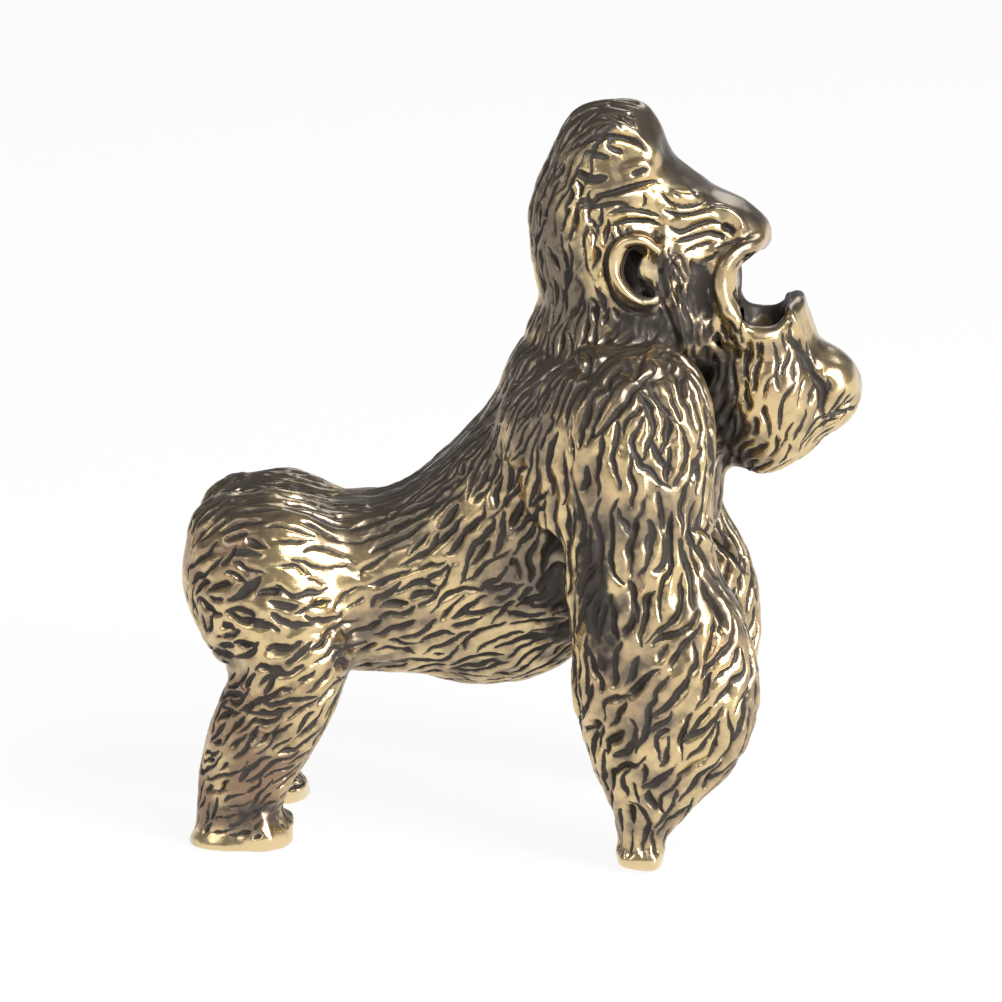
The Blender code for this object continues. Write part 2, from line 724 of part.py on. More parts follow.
def main():
    for old in list(bpy.data.objects):
        bpy.data.objects.remove(old)
    torso = thin_out(make_torso(), TORSO_TRIANGLES)
    head = thin_out(make_head(), HEAD_TRIANGLES)
    jaw = thin_out(make_jaw(), JAW_TRIANGLES)
    neck = near_head(NECK_SEAT)
    cut(torso, slab("neck", neck, -NECK_FALL, 1))
    cut(head, slab("neck", neck + Vector((0, 0, SEAM)), -NECK_FALL, -1))
    jaw_seat = near_head(JAW_SEAT)
    cut(head, slab("jaw seat", jaw_seat, JAW_RISE, -1))
    cut(jaw, slab("jaw seat", jaw_seat + Vector((SEAM, 0, 0)), JAW_RISE, 1))
    right = make_side("right", -1, torso, head)
    left = make_side("left", 1, torso, head)
    seat(jaw, torso, right[0], left[0])
    ahead, up = NECK_CROSSING
    spigot(head, torso, neck + Vector((ahead, 0, up)), (0, 0, -1), NECK_REACH, NECK_SPIGOT)
    spigot(jaw, torso, near_head(JAW_CROSSING), (-1, 0, 0), JAW_REACH, JAW_SPIGOT)
    locate_side(-1, torso, head, *right)
    locate_side(1, torso, head, *left)
    castings = [torso, head, jaw, *right, *left]
    centre(castings)
    gorilla = bpy.data.objects.new("gorilla", None)
    bpy.context.scene.collection.objects.link(gorilla)
    for shape in castings:
        worn = shape in right[2:] or shape in left[2:]
        colour, roughness = (WORN_BRASS, WORN_ROUGHNESS) if worn else (BRASS, FUR_ROUGHNESS)
        shape.data.materials.clear()
        shape.data.materials.append(finish(f"{shape.name} brass", colour, roughness))
        shape.data.shade_smooth()
        shape.data.set_sharp_from_angle(angle=math.radians(50))
        place(shape, gorilla)


main()
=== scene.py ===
"""Antique brass gorilla, standing on its knuckles with its mouth wide open.

The thirteen castings are brazed, filled and chased into one skin. The fur is cut into that skin in
streams of short gouges, the face is chased line by line, the cuts are left dark with patina, the
hollows and the places where shade falls are painted dark as patina and painted shade, the tops are
darker under a film that is partly painted shade, and the high places are rubbed bright, partly as
painted highlights. Lengths are in millimetres. A place is given forward, out from the
middle and up, for both sides alike, or just forward and up as seen from the side.
"""

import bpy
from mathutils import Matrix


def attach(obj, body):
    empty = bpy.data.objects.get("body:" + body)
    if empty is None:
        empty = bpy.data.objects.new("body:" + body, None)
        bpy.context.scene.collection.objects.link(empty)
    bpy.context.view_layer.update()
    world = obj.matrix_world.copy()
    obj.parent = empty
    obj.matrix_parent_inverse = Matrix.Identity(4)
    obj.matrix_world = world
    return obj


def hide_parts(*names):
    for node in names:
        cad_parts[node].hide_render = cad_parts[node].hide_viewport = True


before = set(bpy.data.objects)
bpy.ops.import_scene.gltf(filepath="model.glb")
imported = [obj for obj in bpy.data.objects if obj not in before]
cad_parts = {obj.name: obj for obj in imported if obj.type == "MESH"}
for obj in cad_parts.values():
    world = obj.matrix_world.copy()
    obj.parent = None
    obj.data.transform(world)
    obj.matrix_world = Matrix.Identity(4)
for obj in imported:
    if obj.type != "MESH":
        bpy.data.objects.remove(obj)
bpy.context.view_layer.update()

import math
import random

import bmesh
import bpy
import numpy as np
from mathutils import Matrix, Vector, noise
from mathutils.bvhtree import BVHTree
from mathutils.kdtree import KDTree

MM = 0.001

# The figure is looked at from its right side, a little from above and from its front.
SIGHT_TURN = 3.5                 # degrees towards its front
SIGHT_RISE = 12.5                # degrees
SIGHT_REACH = 307.0
SIGHT_AT = Vector((-1.4, 0.0, 22.4))
SIGHT_LENS = 165.7
CHEEK_OUT = 4.0                  # the face lines are laid out on a plane this far from the middle

# The studio. Each lamp has its turn and rise in degrees, then reach, width and height in metres, and watts.
LAMPS = (
    ("key", 46, 42, 0.50, 0.26, 0.26, 2.8),
    ("side", 54, 10, 0.50, 0.09, 0.40, 1.4),
    ("fill", -44, 36, 0.55, 0.30, 0.30, 0.40),
    ("back", 165, 44, 0.55, 0.30, 0.30, 0.6),
)
# The sky: how high, from 0 at the horizon to 1 overhead, and the colour there.
SKY_LOW = (0.06, (1.0, 1.0, 1.0, 1))
SKY_BETWEEN = (0.22, (0.27, 0.27, 0.28, 1))
SKY_TOP = (0.75, (0.22, 0.225, 0.235, 1))
FLOOR_REACH = 3.0                # metres
FLOOR_TONES = ((0.93, 0.93, 0.93, 1), (0.95, 0.95, 0.95, 1))
FLOOR_SEEN_WHITE = 0.92          # share of plain white in the floor as the eye and the brass see it

# Filling the seams, and the grain of the skin.
SAME_PLACE = 1e-7                # metres, within which two corners of a casting are one
FILLER = 0.2                     # each casting is grown by this, and the skin taken back by it
FILLED_GRAIN = 0.25              # while the seams are filled
SKIN_GRAIN = 0.12                # for the fur
KEPT_SHARE = 0.56                # share of the triangles that the last thinning keeps
MOST_TRIANGLES = 198000          # in one piece

# Where one casting runs into the next with no edge: places along the join, and reach.
BLENDED = (
    (((5.5, 9.5, 34.5), (3.0, 9.0, 33.0), (2.0, 9.0, 30.0), (2.2, 9.5, 27.0), (2.6, 10.0, 24.5)), 2.6),
    (((-2.0, 5.0, 32.5), (1.0, 6.0, 34.0), (3.5, 6.5, 35.0)), 2.2),
    (((-10.5, 8.0, 20.5), (-9.8, 8.5, 17.0)), 2.0),
    (((-16.6, 8.2, 2.1), (-15.2, 7.8, 1.7)), 1.2),
)
BLEND_PASSES = 60
QUARTERS = (0.25, 0.5, 0.75, 1.0)

# Brazing metal run into the joins: middle, half sizes, and turn from forward to outward.
FILLETS = (
    ((2.9, 8.5, 29.5), (2.8, 1.0, 3.8), 44),
    ((2.5, 9.1, 26.4), (3.3, 1.05, 4.6), 42),
    ((13.9, 3.5, 34.4), (1.4, 1.2, 1.3), 0),
    ((12.7, 2.7, 33.8), (1.4, 1.4, 1.6), 0),
    ((5.0, 7.0, 33.2), (2.2, 1.8, 1.4), 20),
    ((13.2, 1.0, 37.6), (1.5, 1.8, 2.6), 0),
)

# The jaw spread outwards: place (forward, up), reach, how far outwards and how far down.
SPREAD = ((15.9, 35.4), 2.7, 1.1, 0.35)
SPREAD_FULL_FROM = 2.2           # out from the middle, and less the nearer to the middle
# The front of each ear filed off: middle (forward, up), half sizes, how far out it is left, and slope.
FILED = ((9.1, 38.7), (1.15, 1.5), 5.0, -0.25)
# The toes filed to a slope: where the slope meets the ground line (forward, up), its steepness, its top.
TOES = ((-14.7, 1.2), 1.9, 3.6)
TOES_FADE = 0.6                  # the filing fades out over this height under its top
TOES_BEHIND = -10                # forward, so that the hands in front of it are left alone
TOES_SHARE = 0.85                # share of what stands proud that is filed off
TOES_DEEPEST = 2.2

SMOOTH_NODES = ("right_ear", "left_ear", "right_hand", "left_hand", "right_foot", "left_foot")

# How the fur lies. Each row is a place on the right side (forward, out from the middle, up), the
# lean of the strokes there in degrees from forward, and their length, width, spacing and depth.
FUR = (
    # crown, back of the head and nape
    (8.2, 1.5, 48.0, -50, 1.8, 0.20, 0.60, 0.09),
    (6.5, 0.0, 49.3, 5, 2.2, 0.20, 0.58, 0.10),
    (4.0, 2.5, 48.3, 42, 2.6, 0.22, 0.60, 0.12),
    (1.8, 1.5, 45.5, 70, 3.0, 0.24, 0.60, 0.14),
    (0.8, 2.5, 41.0, 88, 3.4, 0.28, 0.64, 0.17),
    (3.2, 4.5, 43.0, 88, 2.8, 0.28, 0.66, 0.17),
    (3.0, 5.0, 38.0, 92, 3.0, 0.30, 0.70, 0.19),
    (1.5, 3.0, 35.5, 82, 3.2, 0.24, 0.58, 0.14),
    (6.5, 6.0, 35.0, 80, 2.0, 0.26, 0.62, 0.16),
    # upper back
    (-0.8, 3.0, 33.0, 58, 3.6, 0.19, 0.46, 0.10),
    (-2.5, 0.0, 30.5, 52, 4.0, 0.18, 0.42, 0.09),
    (1.2, 7.0, 30.5, 58, 3.0, 0.20, 0.50, 0.11),
    (-1.0, 6.5, 26.5, 55, 2.8, 0.22, 0.54, 0.12),
    (-4.6, 2.5, 27.0, 50, 3.6, 0.18, 0.44, 0.09),
    (-7.5, 0.0, 24.0, 20, 3.4, 0.18, 0.48, 0.09),
    (-7.0, 5.0, 23.0, 28, 2.4, 0.24, 0.62, 0.13),
    # rump
    (-12.0, 0.0, 24.4, 2, 3.2, 0.19, 0.50, 0.09),
    (-13.0, 5.0, 23.6, 0, 2.2, 0.22, 0.62, 0.11),
    (-17.5, 0.0, 24.6, 0, 3.0, 0.20, 0.52, 0.09),
    (-20.8, 2.5, 22.2, 55, 2.6, 0.22, 0.56, 0.11),
    (-22.4, 0.0, 17.5, 92, 2.4, 0.24, 0.60, 0.13),
    (-21.3, 4.0, 14.0, 70, 1.8, 0.28, 0.66, 0.15),
    # haunch
    (-17.5, 7.5, 19.5, 8, 1.5, 0.34, 0.86, 0.15),
    (-16.5, 8.5, 16.5, 4, 1.3, 0.44, 0.90, 0.20),
    (-18.5, 7.5, 13.5, 24, 1.2, 0.44, 0.84, 0.20),
    (-14.2, 6.6, 21.6, 8, 1.7, 0.22, 0.92, 0.10),
    (-12.8, 6.9, 19.6, 8, 1.8, 0.22, 0.98, 0.10),
    (-11.8, 6.8, 17.4, 12, 1.8, 0.22, 0.96, 0.10),
    (-12.0, 9.0, 17.0, 12, 1.7, 0.30, 0.80, 0.16),
    (-13.0, 8.5, 13.0, 14, 1.7, 0.30, 0.78, 0.16),
    # hind leg
    (-17.0, 8.0, 10.0, 26, 1.9, 0.28, 0.64, 0.15),
    (-15.0, 8.0, 7.0, 30, 1.9, 0.26, 0.62, 0.14),
    (-19.5, 8.0, 5.5, 30, 1.7, 0.24, 0.58, 0.13),
    (-20.5, 8.0, 2.4, 34, 1.3, 0.20, 0.60, 0.10),
    # flank and belly
    (-8.5, 7.5, 20.5, 28, 2.2, 0.30, 0.78, 0.17),
    (-4.5, 7.5, 21.5, 36, 2.0, 0.30, 0.78, 0.17),
    (-8.0, 8.5, 16.5, 18, 2.2, 0.30, 0.80, 0.17),
    (-3.0, 8.5, 17.5, 28, 2.2, 0.30, 0.80, 0.17),
    (-8.0, 7.0, 13.0, 12, 2.6, 0.30, 0.78, 0.16),
    (-1.0, 8.0, 13.0, 16, 2.6, 0.30, 0.78, 0.16),
    (-5.0, 0.0, 11.0, 2, 2.6, 0.30, 0.82, 0.15),
    (3.0, 0.0, 12.5, 10, 2.4, 0.30, 0.82, 0.15),
    (0.5, 8.0, 20.5, 64, 1.8, 0.36, 0.82, 0.20),
    (0.5, 8.0, 24.0, 60, 1.8, 0.32, 0.76, 0.18),
    # shoulder and upper arm
    (5.5, 10.0, 31.5, 86, 3.0, 0.34, 0.88, 0.18),
    (10.5, 10.0, 30.0, 92, 3.4, 0.34, 1.00, 0.18),
    (4.2, 11.0, 26.5, 100, 3.0, 0.38, 0.92, 0.20),
    (8.5, 12.0, 25.5, 92, 3.0, 0.38, 0.96, 0.20),
    (12.8, 10.5, 25.0, 96, 2.8, 0.36, 0.96, 0.20),
    (5.0, 12.0, 20.5, 84, 2.4, 0.40, 0.84, 0.21),
    (9.5, 12.5, 20.0, 76, 2.8, 0.38, 0.94, 0.21),
    (14.0, 11.0, 20.0, 112, 2.8, 0.36, 0.98, 0.20),
    # forearm
    (5.2, 12.0, 14.5, 78, 2.6, 0.38, 0.88, 0.20),
    (9.5, 12.5, 13.5, 58, 3.0, 0.36, 0.94, 0.20),
    (14.5, 11.5, 14.0, 66, 3.0, 0.36, 0.96, 0.20),
    (6.5, 12.0, 9.0, 64, 2.5, 0.36, 0.86, 0.20),
    (11.5, 12.0, 8.0, 52, 2.8, 0.36, 0.90, 0.20),
    (9.0, 11.0, 4.0, 72, 1.9, 0.32, 0.76, 0.18),
    (9.0, 10.5, 1.8, 82, 1.3, 0.28, 0.72, 0.14),
    # chest and throat
    (12.0, 0.0, 26.0, 90, 2.4, 0.30, 0.80, 0.17),
    (13.0, 4.0, 20.0, 88, 2.4, 0.32, 0.82, 0.18),
    (9.0, 3.0, 14.0, 70, 2.2, 0.30, 0.80, 0.17),
    (14.0, 3.5, 28.5, 52, 1.8, 0.26, 0.68, 0.15),
    # jaw and jowls
    (14.8, 4.5, 32.8, 96, 1.5, 0.23, 0.76, 0.13),
    (16.5, 4.5, 30.0, 84, 1.6, 0.21, 0.76, 0.12),
    (17.5, 3.0, 27.5, 46, 1.6, 0.22, 0.66, 0.12),
    (20.0, 2.0, 28.0, 28, 1.3, 0.22, 0.56, 0.11),
    (18.5, 4.0, 32.0, 80, 1.3, 0.20, 0.72, 0.09),
    # cheek and under the ear
    (11.6, 4.5, 37.4, 104, 1.2, 0.20, 0.50, 0.11),
    (11.8, 4.4, 35.2, 96, 1.5, 0.24, 0.54, 0.13),
    (8.6, 5.2, 35.6, 60, 1.8, 0.26, 0.56, 0.15),
)

# Places that carry no fur: middle and reach.
BARE = (
    (8.2, 3.6, 44.6, 3.3), (9.2, 0.0, 46.0, 3.4), (12.6, 2.0, 42.4, 3.8), (15.2, 0.0, 41.0, 3.4),
    (13.2, 4.0, 38.2, 1.7), (7.7, 5.4, 38.8, 2.5), (14.2, 2.6, 36.5, 2.2), (17.6, 0.0, 36.0, 3.4),
    (20.8, 0.0, 32.4, 2.9), (12.0, 0.0, 37.0, 4.0), (16.0, 4.0, 36.0, 1.7), (15.4, 1.5, 33.6, 2.2),
    (-15.6, 7.6, 1.8, 1.3),
)
SOLE_BAND = 1.2                  # no fur this close to the ground

# Where the patina was left and where shade falls, painted dark as patina and painted shade, and where the
# film is thick, on tops partly as painted shade, or rubbed off, partly as painted highlights, where it is
# below nothing:
# place, reach, share left dark, share of film.
PATINA_SHADE_AND_HIGHLIGHTS = (
    # painted shade under the ear and over the shoulder
    (7.0, 5.3, 35.6, 1.9, 0.5, 0.1), (9.0, 5.1, 35.2, 1.9, 0.54, 0.1), (11.0, 4.8, 34.9, 1.9, 0.48, 0.1),
    (4.6, 7.0, 34.0, 1.8, 0.24, 0.2), (7.0, 7.3, 34.2, 1.8, 0.3, 0.2), (9.3, 8.0, 34.3, 1.8, 0.26, 0.2),
    # painted shade between the jaw and the shoulder
    (13.0, 3.4, 32.8, 1.8, 0.3, 0.1), (13.4, 3.8, 30.9, 1.8, 0.32, 0.1), (13.8, 4.2, 28.9, 1.7, 0.3, 0.1),
    (14.2, 3.9, 26.9, 1.5, 0.26, 0.1),
    # painted shade along the back edge of the arm, and on the side behind it
    (4.2, 11.5, 25.2, 1.7, 0.46, 0.1), (4.8, 12.3, 23.2, 1.9, 0.7, 0.1), (4.9, 12.4, 20.8, 2.1, 0.82, 0.1),
    (5.2, 12.6, 18.4, 2.1, 0.82, 0.1), (5.8, 12.8, 15.9, 2.0, 0.74, 0.1), (6.5, 12.9, 13.4, 1.7, 0.5, 0.1),
    (2.9, 7.9, 22.0, 1.8, 0.62, 0.1), (2.9, 7.0, 18.0, 2.2, 0.7, 0.1), (3.0, 5.2, 14.4, 1.9, 0.55, 0.1),
    (6.6, 13.0, 24.2, 1.6, 0.24, 0.1), (6.9, 13.0, 22.0, 1.8, 0.34, 0.1), (7.0, 13.2, 19.6, 1.9, 0.42, 0.1),
    (7.4, 13.3, 17.2, 1.8, 0.38, 0.1), (8.0, 13.4, 14.6, 1.5, 0.24, 0.1),
    # patina and painted shade on the haunch, and where the leg leaves it
    (-18.0, 8.3, 17.2, 1.4, 0.3, 0.0), (-17.2, 8.5, 14.6, 1.5, 0.28, 0.0), (-19.6, 7.0, 12.6, 1.8, 0.24, 0.1),
    (-16.2, 8.4, 12.6, 1.5, 0.22, 0.1), (-14.6, 9.0, 11.4, 1.4, 0.18, 0.1),
    (-11.4, 7.5, 13.9, 1.3, 0.22, 0.1),
    # painted shade and patina inside the mouth
    (16.2, 0.0, 36.0, 3.0, 0.75, 0.2), (14.6, 0.0, 38.0, 2.6, 0.75, 0.2), (15.2, 2.4, 35.0, 1.4, 0.3, 0.2),
    # film on the nape and back of the head, darker on top partly as painted shade
    (1.3, 2.1, 43.0, 3.2, 0.1, 0.5), (1.8, 3.1, 39.5, 3.4, 0.12, 0.52), (2.6, 3.7, 36.2, 3.0, 0.12, 0.48),
    (3.4, 1.5, 46.8, 3.2, 0.08, 0.42), (4.0, 4.6, 36.6, 2.6, 0.16, 0.3),
    # film from the upper back to the shoulder blade, darker on top partly as painted shade
    (-4.5, 3.0, 26.0, 3.6, 0.05, 0.34), (-1.8, 4.6, 28.4, 3.6, 0.05, 0.36), (0.8, 5.4, 31.4, 3.6, 0.06, 0.36),
    (1.0, 8.4, 28.6, 2.8, 0.04, 0.26), (3.8, 8.6, 32.4, 2.6, 0.06, 0.3), (-7.5, 3.0, 24.0, 3.4, 0.04, 0.24),
    # cheek
    (11.6, 4.4, 37.2, 2.0, 0.12, 0.1), (10.4, 5.0, 35.8, 1.5, 0.14, 0.1), (12.2, 4.4, 35.2, 1.3, 0.1, 0.1),
    # film on the crown, painted shade on the ribs behind the arm, and the tops of the feet darker
    (6.0, 0.0, 49.4, 3.4, 0.04, 0.3), (-1.0, 7.0, 18.6, 3.4, 0.06, 0.2), (-16.9, 7.6, 2.7, 1.7, 0.5, 0.6),
    (-15.6, 6.6, 2.6, 1.3, 0.46, 0.5), (-18.7, 7.8, 2.5, 1.3, 0.4, 0.5), (-20.4, 6.9, 2.5, 1.3, 0.36, 0.5),
    # front of the ear, the brow and the bridge of the nose
    (9.3, 4.9, 38.9, 1.3, 0.24, 0.4), (9.8, 1.8, 47.2, 2.6, 0.04, 0.46), (10.4, 1.8, 45.0, 2.4, 0.04, 0.46),
    (12.6, 1.6, 44.2, 2.3, 0.04, 0.4), (14.8, 1.2, 43.2, 2.0, 0.04, 0.3),
    # rubbed bright, partly as painted highlights where the lamps catch: by the eye, the upper lip, the jowl,
    # the chin, the haunch, the shoulder and the arm
    (8.3, 3.4, 45.7, 1.6, 0.0, -0.55), (8.4, 4.0, 43.6, 1.3, 0.0, -0.3), (13.2, 4.2, 37.4, 1.2, 0.0, -0.4),
    (13.6, 4.2, 35.4, 1.0, 0.0, -0.4), (16.2, 4.8, 30.8, 2.8, 0.0, -0.3), (21.0, 2.0, 31.8, 2.2, 0.0, -0.25),
    (-14.4, 6.8, 21.6, 1.7, 0.0, -0.4), (-12.6, 7.2, 19.4, 1.7, 0.0, -0.4),
    (-11.8, 7.2, 17.2, 1.7, 0.0, -0.4),
    (-12.8, 8.6, 14.6, 1.7, 0.0, -0.3), (9.8, 11.0, 30.6, 1.9, 0.0, -0.35),
    (11.0, 11.0, 28.0, 1.9, 0.0, -0.35),
    (10.7, 12.6, 20.6, 1.7, 0.0, -0.4), (13.4, 12.0, 15.4, 2.0, 0.0, -0.3),
    # hind leg and lower arm
    (-18.6, 7.8, 8.0, 3.6, 0.1, 0.22), (-16.2, 8.2, 5.6, 3.6, 0.1, 0.22), (-19.4, 7.7, 3.6, 3.2, 0.12, 0.22),
    (8.6, 11.6, 3.2, 3.0, 0.04, 0.12),
)

# Where the brass has turned coppery: place, reach, share.
COPPERY = (
    (-18.5, 7.8, 9.2, 4.4, 1.0), (-17.2, 8.0, 5.4, 4.4, 1.0), (-20.2, 7.0, 3.4, 3.4, 0.9),
    (-15.6, 8.4, 11.4, 2.8, 0.6), (-20.6, 5.6, 19.4, 3.2, 0.9), (-18.6, 7.4, 21.2, 3.0, 0.7),
    (-18.8, 7.6, 18.2, 2.4, 0.5), (-19.6, 6.8, 15.4, 2.2, 0.4), (11.8, 10.4, 30.6, 1.6, 0.6),
    (6.0, 12.9, 12.8, 2.2, 0.7), (6.2, 12.8, 26.4, 2.2, 0.35), (14.6, 5.0, 30.2, 1.6, 0.35),
    (4.0, 10.6, 31.0, 1.8, 0.3), (-0.6, 7.4, 23.0, 2.0, 0.3),
)
# the hollow of the mouth is painted dark all over, as patina and painted shade
MOUTH = ((15.4, 0.0, 36.8), (3.7, 4.6, 3.6))      # middle and half sizes of the hollow left dark

# The chased face. Each line is laid out forward and up, and cuts have width, depth and darkness.
FACE_CUTS = (
    ("crease over the brow", ((3.8, 46.9), (5.0, 47.4), (6.4, 47.4), (7.6, 47.1),
     (8.3, 46.5)), 0.55, 0.3, 1),
    ("temple mark high", ((5.8, 46.8), (6.2, 46.6), (6.7, 46.5)), 0.50, 0.20, 1),
    ("temple mark middle", ((4.2, 46.4), (5.0, 46.2), (5.9, 46.1)), 0.55, 0.22, 1),
    ("temple mark low", ((3.6, 45.2), (4.7, 44.7), (5.7, 44.8)), 0.75, 0.24, 1),
    ("temple mark lowest", ((3.9, 43.3), (4.9, 43.1)), 0.60, 0.20, 1),
    ("pupil", ((7.3, 45.0), (7.8, 45.15), (8.3, 45.35)), 0.55, 0.26, 1),
    ("under the eye", ((4.9, 43.6), (6.1, 43.8), (7.3, 44.2), (8.4, 44.5), (9.2, 44.6)), 0.46, 0.3, 1),
    ("cheek line high", ((3.8, 42.8), (5.1, 42.9), (6.3, 43.1), (7.2, 42.9)), 0.4, 0.22, 1),
    ("cheek line middle", ((5.7, 42.4), (6.8, 42.7), (8.0, 42.6), (9.2, 42.3)), 0.38, 0.22, 1),
    ("cheek line low", ((5.9, 41.6), (7.1, 42.0), (8.3, 42.0), (9.3, 41.7)), 0.4, 0.24, 1),
    ("cheek notch", ((8.0, 43.7), (8.2, 43.3), (8.0, 42.9)), 0.26, 0.14, 0.8),
    ("snout line one", ((9.2, 44.0), (9.8, 43.2), (10.8, 42.9), (12.0, 43.2)), 0.34, 0.22, 1),
    ("snout line two", ((9.3, 42.7), (10.3, 42.4), (11.4, 42.5), (12.5, 42.9)), 0.32, 0.2, 1),
    ("snout line three", ((9.6, 41.7), (10.5, 41.3), (11.5, 41.7), (12.5, 42.0),
     (13.2, 41.8)), 0.38, 0.24, 1),
    ("snout line four", ((10.1, 40.6), (11.2, 40.9), (12.3, 41.2), (13.0, 41.1)), 0.38, 0.24, 1),
    ("snout line five", ((10.8, 40.0), (11.8, 40.4), (12.7, 40.6)), 0.3, 0.18, 0.9),
    ("snout notch one", ((10.0, 43.8), (10.3, 43.5)), 0.24, 0.12, 0.7),
    ("snout notch two", ((11.0, 43.9), (11.4, 43.5), (11.8, 43.6)), 0.24, 0.12, 0.8),
    ("snout notch three", ((12.6, 43.1), (13.3, 43.0), (13.9, 42.7)), 0.24, 0.12, 0.8),
    ("under the nostril wing", ((12.7, 40.2), (13.3, 40.5), (14.0, 40.7), (14.8, 40.9)), 0.34, 0.2, 1),
    ("lip line", ((11.8, 39.2), (12.4, 39.6), (13.0, 40.0)), 0.32, 0.18, 0.9),
    ("cheek hollow front", ((12.7, 38.9), (12.5, 37.6), (12.6, 36.6)), 0.34, 0.18, 1),
    ("cheek hollow middle", ((12.1, 38.7), (11.7, 37.4), (11.8, 36.0)), 0.3, 0.16, 1),
    ("cheek hollow back", ((11.4, 38.6), (11.1, 37.4), (11.2, 35.9)), 0.3, 0.14, 1),
    ("cheek hollow last", ((10.7, 38.1), (10.6, 36.9), (10.9, 35.6)), 0.26, 0.14, 0.9),
    ("chin crease", ((17.5, 34.5), (18.4, 33.6), (19.2, 32.1), (19.8, 31.0), (19.8, 29.8),
     (20.0, 29.2)), 0.85, 0.42, 1),
    ("under the chin", ((19.8, 29.0), (20.9, 29.4), (22.1, 29.9)), 0.42, 0.26, 1),
    ("chin line", ((19.4, 28.4), (20.2, 28.8), (20.9, 29.1)), 0.28, 0.14, 0.9),
    ("behind the ear", ((6.6, 41.2), (5.9, 40.3), (5.6, 39.1), (5.9, 37.6), (6.7, 36.4), (8.1, 35.8),
     (9.4, 35.8)), 0.46, 0.3, 1),
    ("behind the strand", ((8.9, 38.1), (9.4, 36.6), (10.0, 35.1), (10.5, 33.6)), 0.4, 0.26, 1),
    ("before the strand", ((10.3, 38.6), (10.6, 37.1), (11.1, 35.6), (11.4, 33.8)), 0.36, 0.22, 1),
    ("between the strands", ((9.9, 39.1), (10.1, 38.1)), 0.28, 0.16, 1),
    ("jowl line one", ((14.9, 33.9), (14.7, 32.6), (15.1, 31.3)), 0.26, 0.14, 0.9),
    ("jowl line two", ((15.5, 34.1), (15.6, 32.9)), 0.24, 0.12, 0.9),
    ("jowl line three", ((14.1, 33.6), (13.9, 32.1), (14.2, 30.3)), 0.3, 0.18, 1),
)
FACE_RAISED = (                  # ridges: line, width, height
    ("brow ridge", ((4.2, 47.4), (5.0, 47.9), (6.2, 48.2), (7.3, 47.8), (8.1, 47.0)), 0.9, 0.24),
    ("upper eyelid", ((6.7, 45.2), (7.3, 45.7), (8.0, 45.8), (8.7, 45.4)), 0.5, 0.07),
    ("lower eyelid", ((6.8, 44.6), (7.7, 44.4), (8.6, 44.7)), 0.5, 0.06),
    ("cheek fold high", ((5.8, 43.3), (7.3, 43.6), (8.8, 43.8)), 0.8, 0.22),
    ("cheek fold low", ((6.4, 42.3), (7.6, 42.4), (8.8, 42.1)), 0.5, 0.2),
    ("snout fold one", ((9.8, 43.7), (10.8, 43.5), (11.8, 43.7)), 0.7, 0.24),
    ("snout fold two", ((9.8, 42.7), (11.0, 42.7), (12.3, 43.1)), 0.5, 0.22),
    ("snout fold three", ((10.0, 42.0), (11.0, 42.1), (12.3, 42.4), (13.0, 42.4)), 0.5, 0.22),
    ("nostril wing", ((12.0, 42.7), (13.1, 42.7), (14.0, 42.3), (14.4, 41.6), (13.9, 41.1)), 0.6, 0.32),
    ("lip fold", ((12.4, 39.9), (13.3, 40.3), (14.0, 40.4)), 0.7, 0.24),
    ("upper lip", ((16.3, 41.2), (15.3, 40.6), (14.1, 39.9), (13.4, 39.1), (13.1, 38.1), (13.3, 36.9),
     (13.8, 35.7), (14.5, 34.7)), 0.95, 0.55),
    ("lower lip", ((17.7, 36.8), (17.6, 36.1), (18.0, 35.2), (18.7, 34.1)), 0.6, 0.28),
    ("ear rim", ((8.9, 39.8), (8.4, 40.5), (7.6, 40.7), (6.7, 40.4), (6.2, 39.4), (6.3, 38.3),
     (7.0, 37.3), (8.0, 36.7), (9.0, 36.7)), 0.62, 0.4),
    ("ear lobe", ((8.0, 36.7), (9.0, 36.7)), 0.75, 0.2),
    ("strand", ((10.9, 40.1), (9.8, 39.4), (9.5, 38.6), (9.9, 37.1), (10.4, 35.6), (10.8, 33.9),
     (11.0, 33.0)), 0.42, 0.34),
    ("ear flap", ((9.5, 41.1), (9.1, 40.2), (8.8, 39.2)), 0.5, 0.28),
    ("neck strand one", ((4.9, 41.0), (4.6, 39.8), (3.9, 38.6), (3.6, 37.0)), 0.45, 0.2),
    ("neck strand two", ((5.5, 38.6), (5.1, 37.3), (5.7, 36.3)), 0.45, 0.18),
)
FACE_SUNK = (                    # hollows: line, width, depth, darkness
    ("ear hollow", ((7.6, 39.5), (7.4, 38.7), (7.7, 37.9), (8.4, 37.4)), 1.75, 0.85, 1),
    ("front of the ear", ((9.2, 39.9), (9.4, 38.6), (9.4, 37.2)), 0.9, 0.2, 0.8),
    ("nostril", ((13.4, 41.6), (13.8, 41.4)), 0.75, 0.45, 1),
    ("nostril end", ((12.5, 41.2), (13.2, 41.0)), 0.55, 0.26, 1),
    ("cheek hollow", ((11.8, 38.6), (11.6, 37.4), (11.9, 36.1)), 2, 0.2, 0.6),
    ("mouth corner", ((14.1, 37.2), (14.6, 35.6)), 0.7, 0.25, 1),
)
SWELLS = (                       # mounds: place, reach, height
    ((17.0, 31.6), 2.7, 0.40), ((21.2, 31.6), 1.9, 0.30), ((7.8, 45.2), 1.3, 0.10), ((11.2, 43.6), 1.6, 0.12),
)

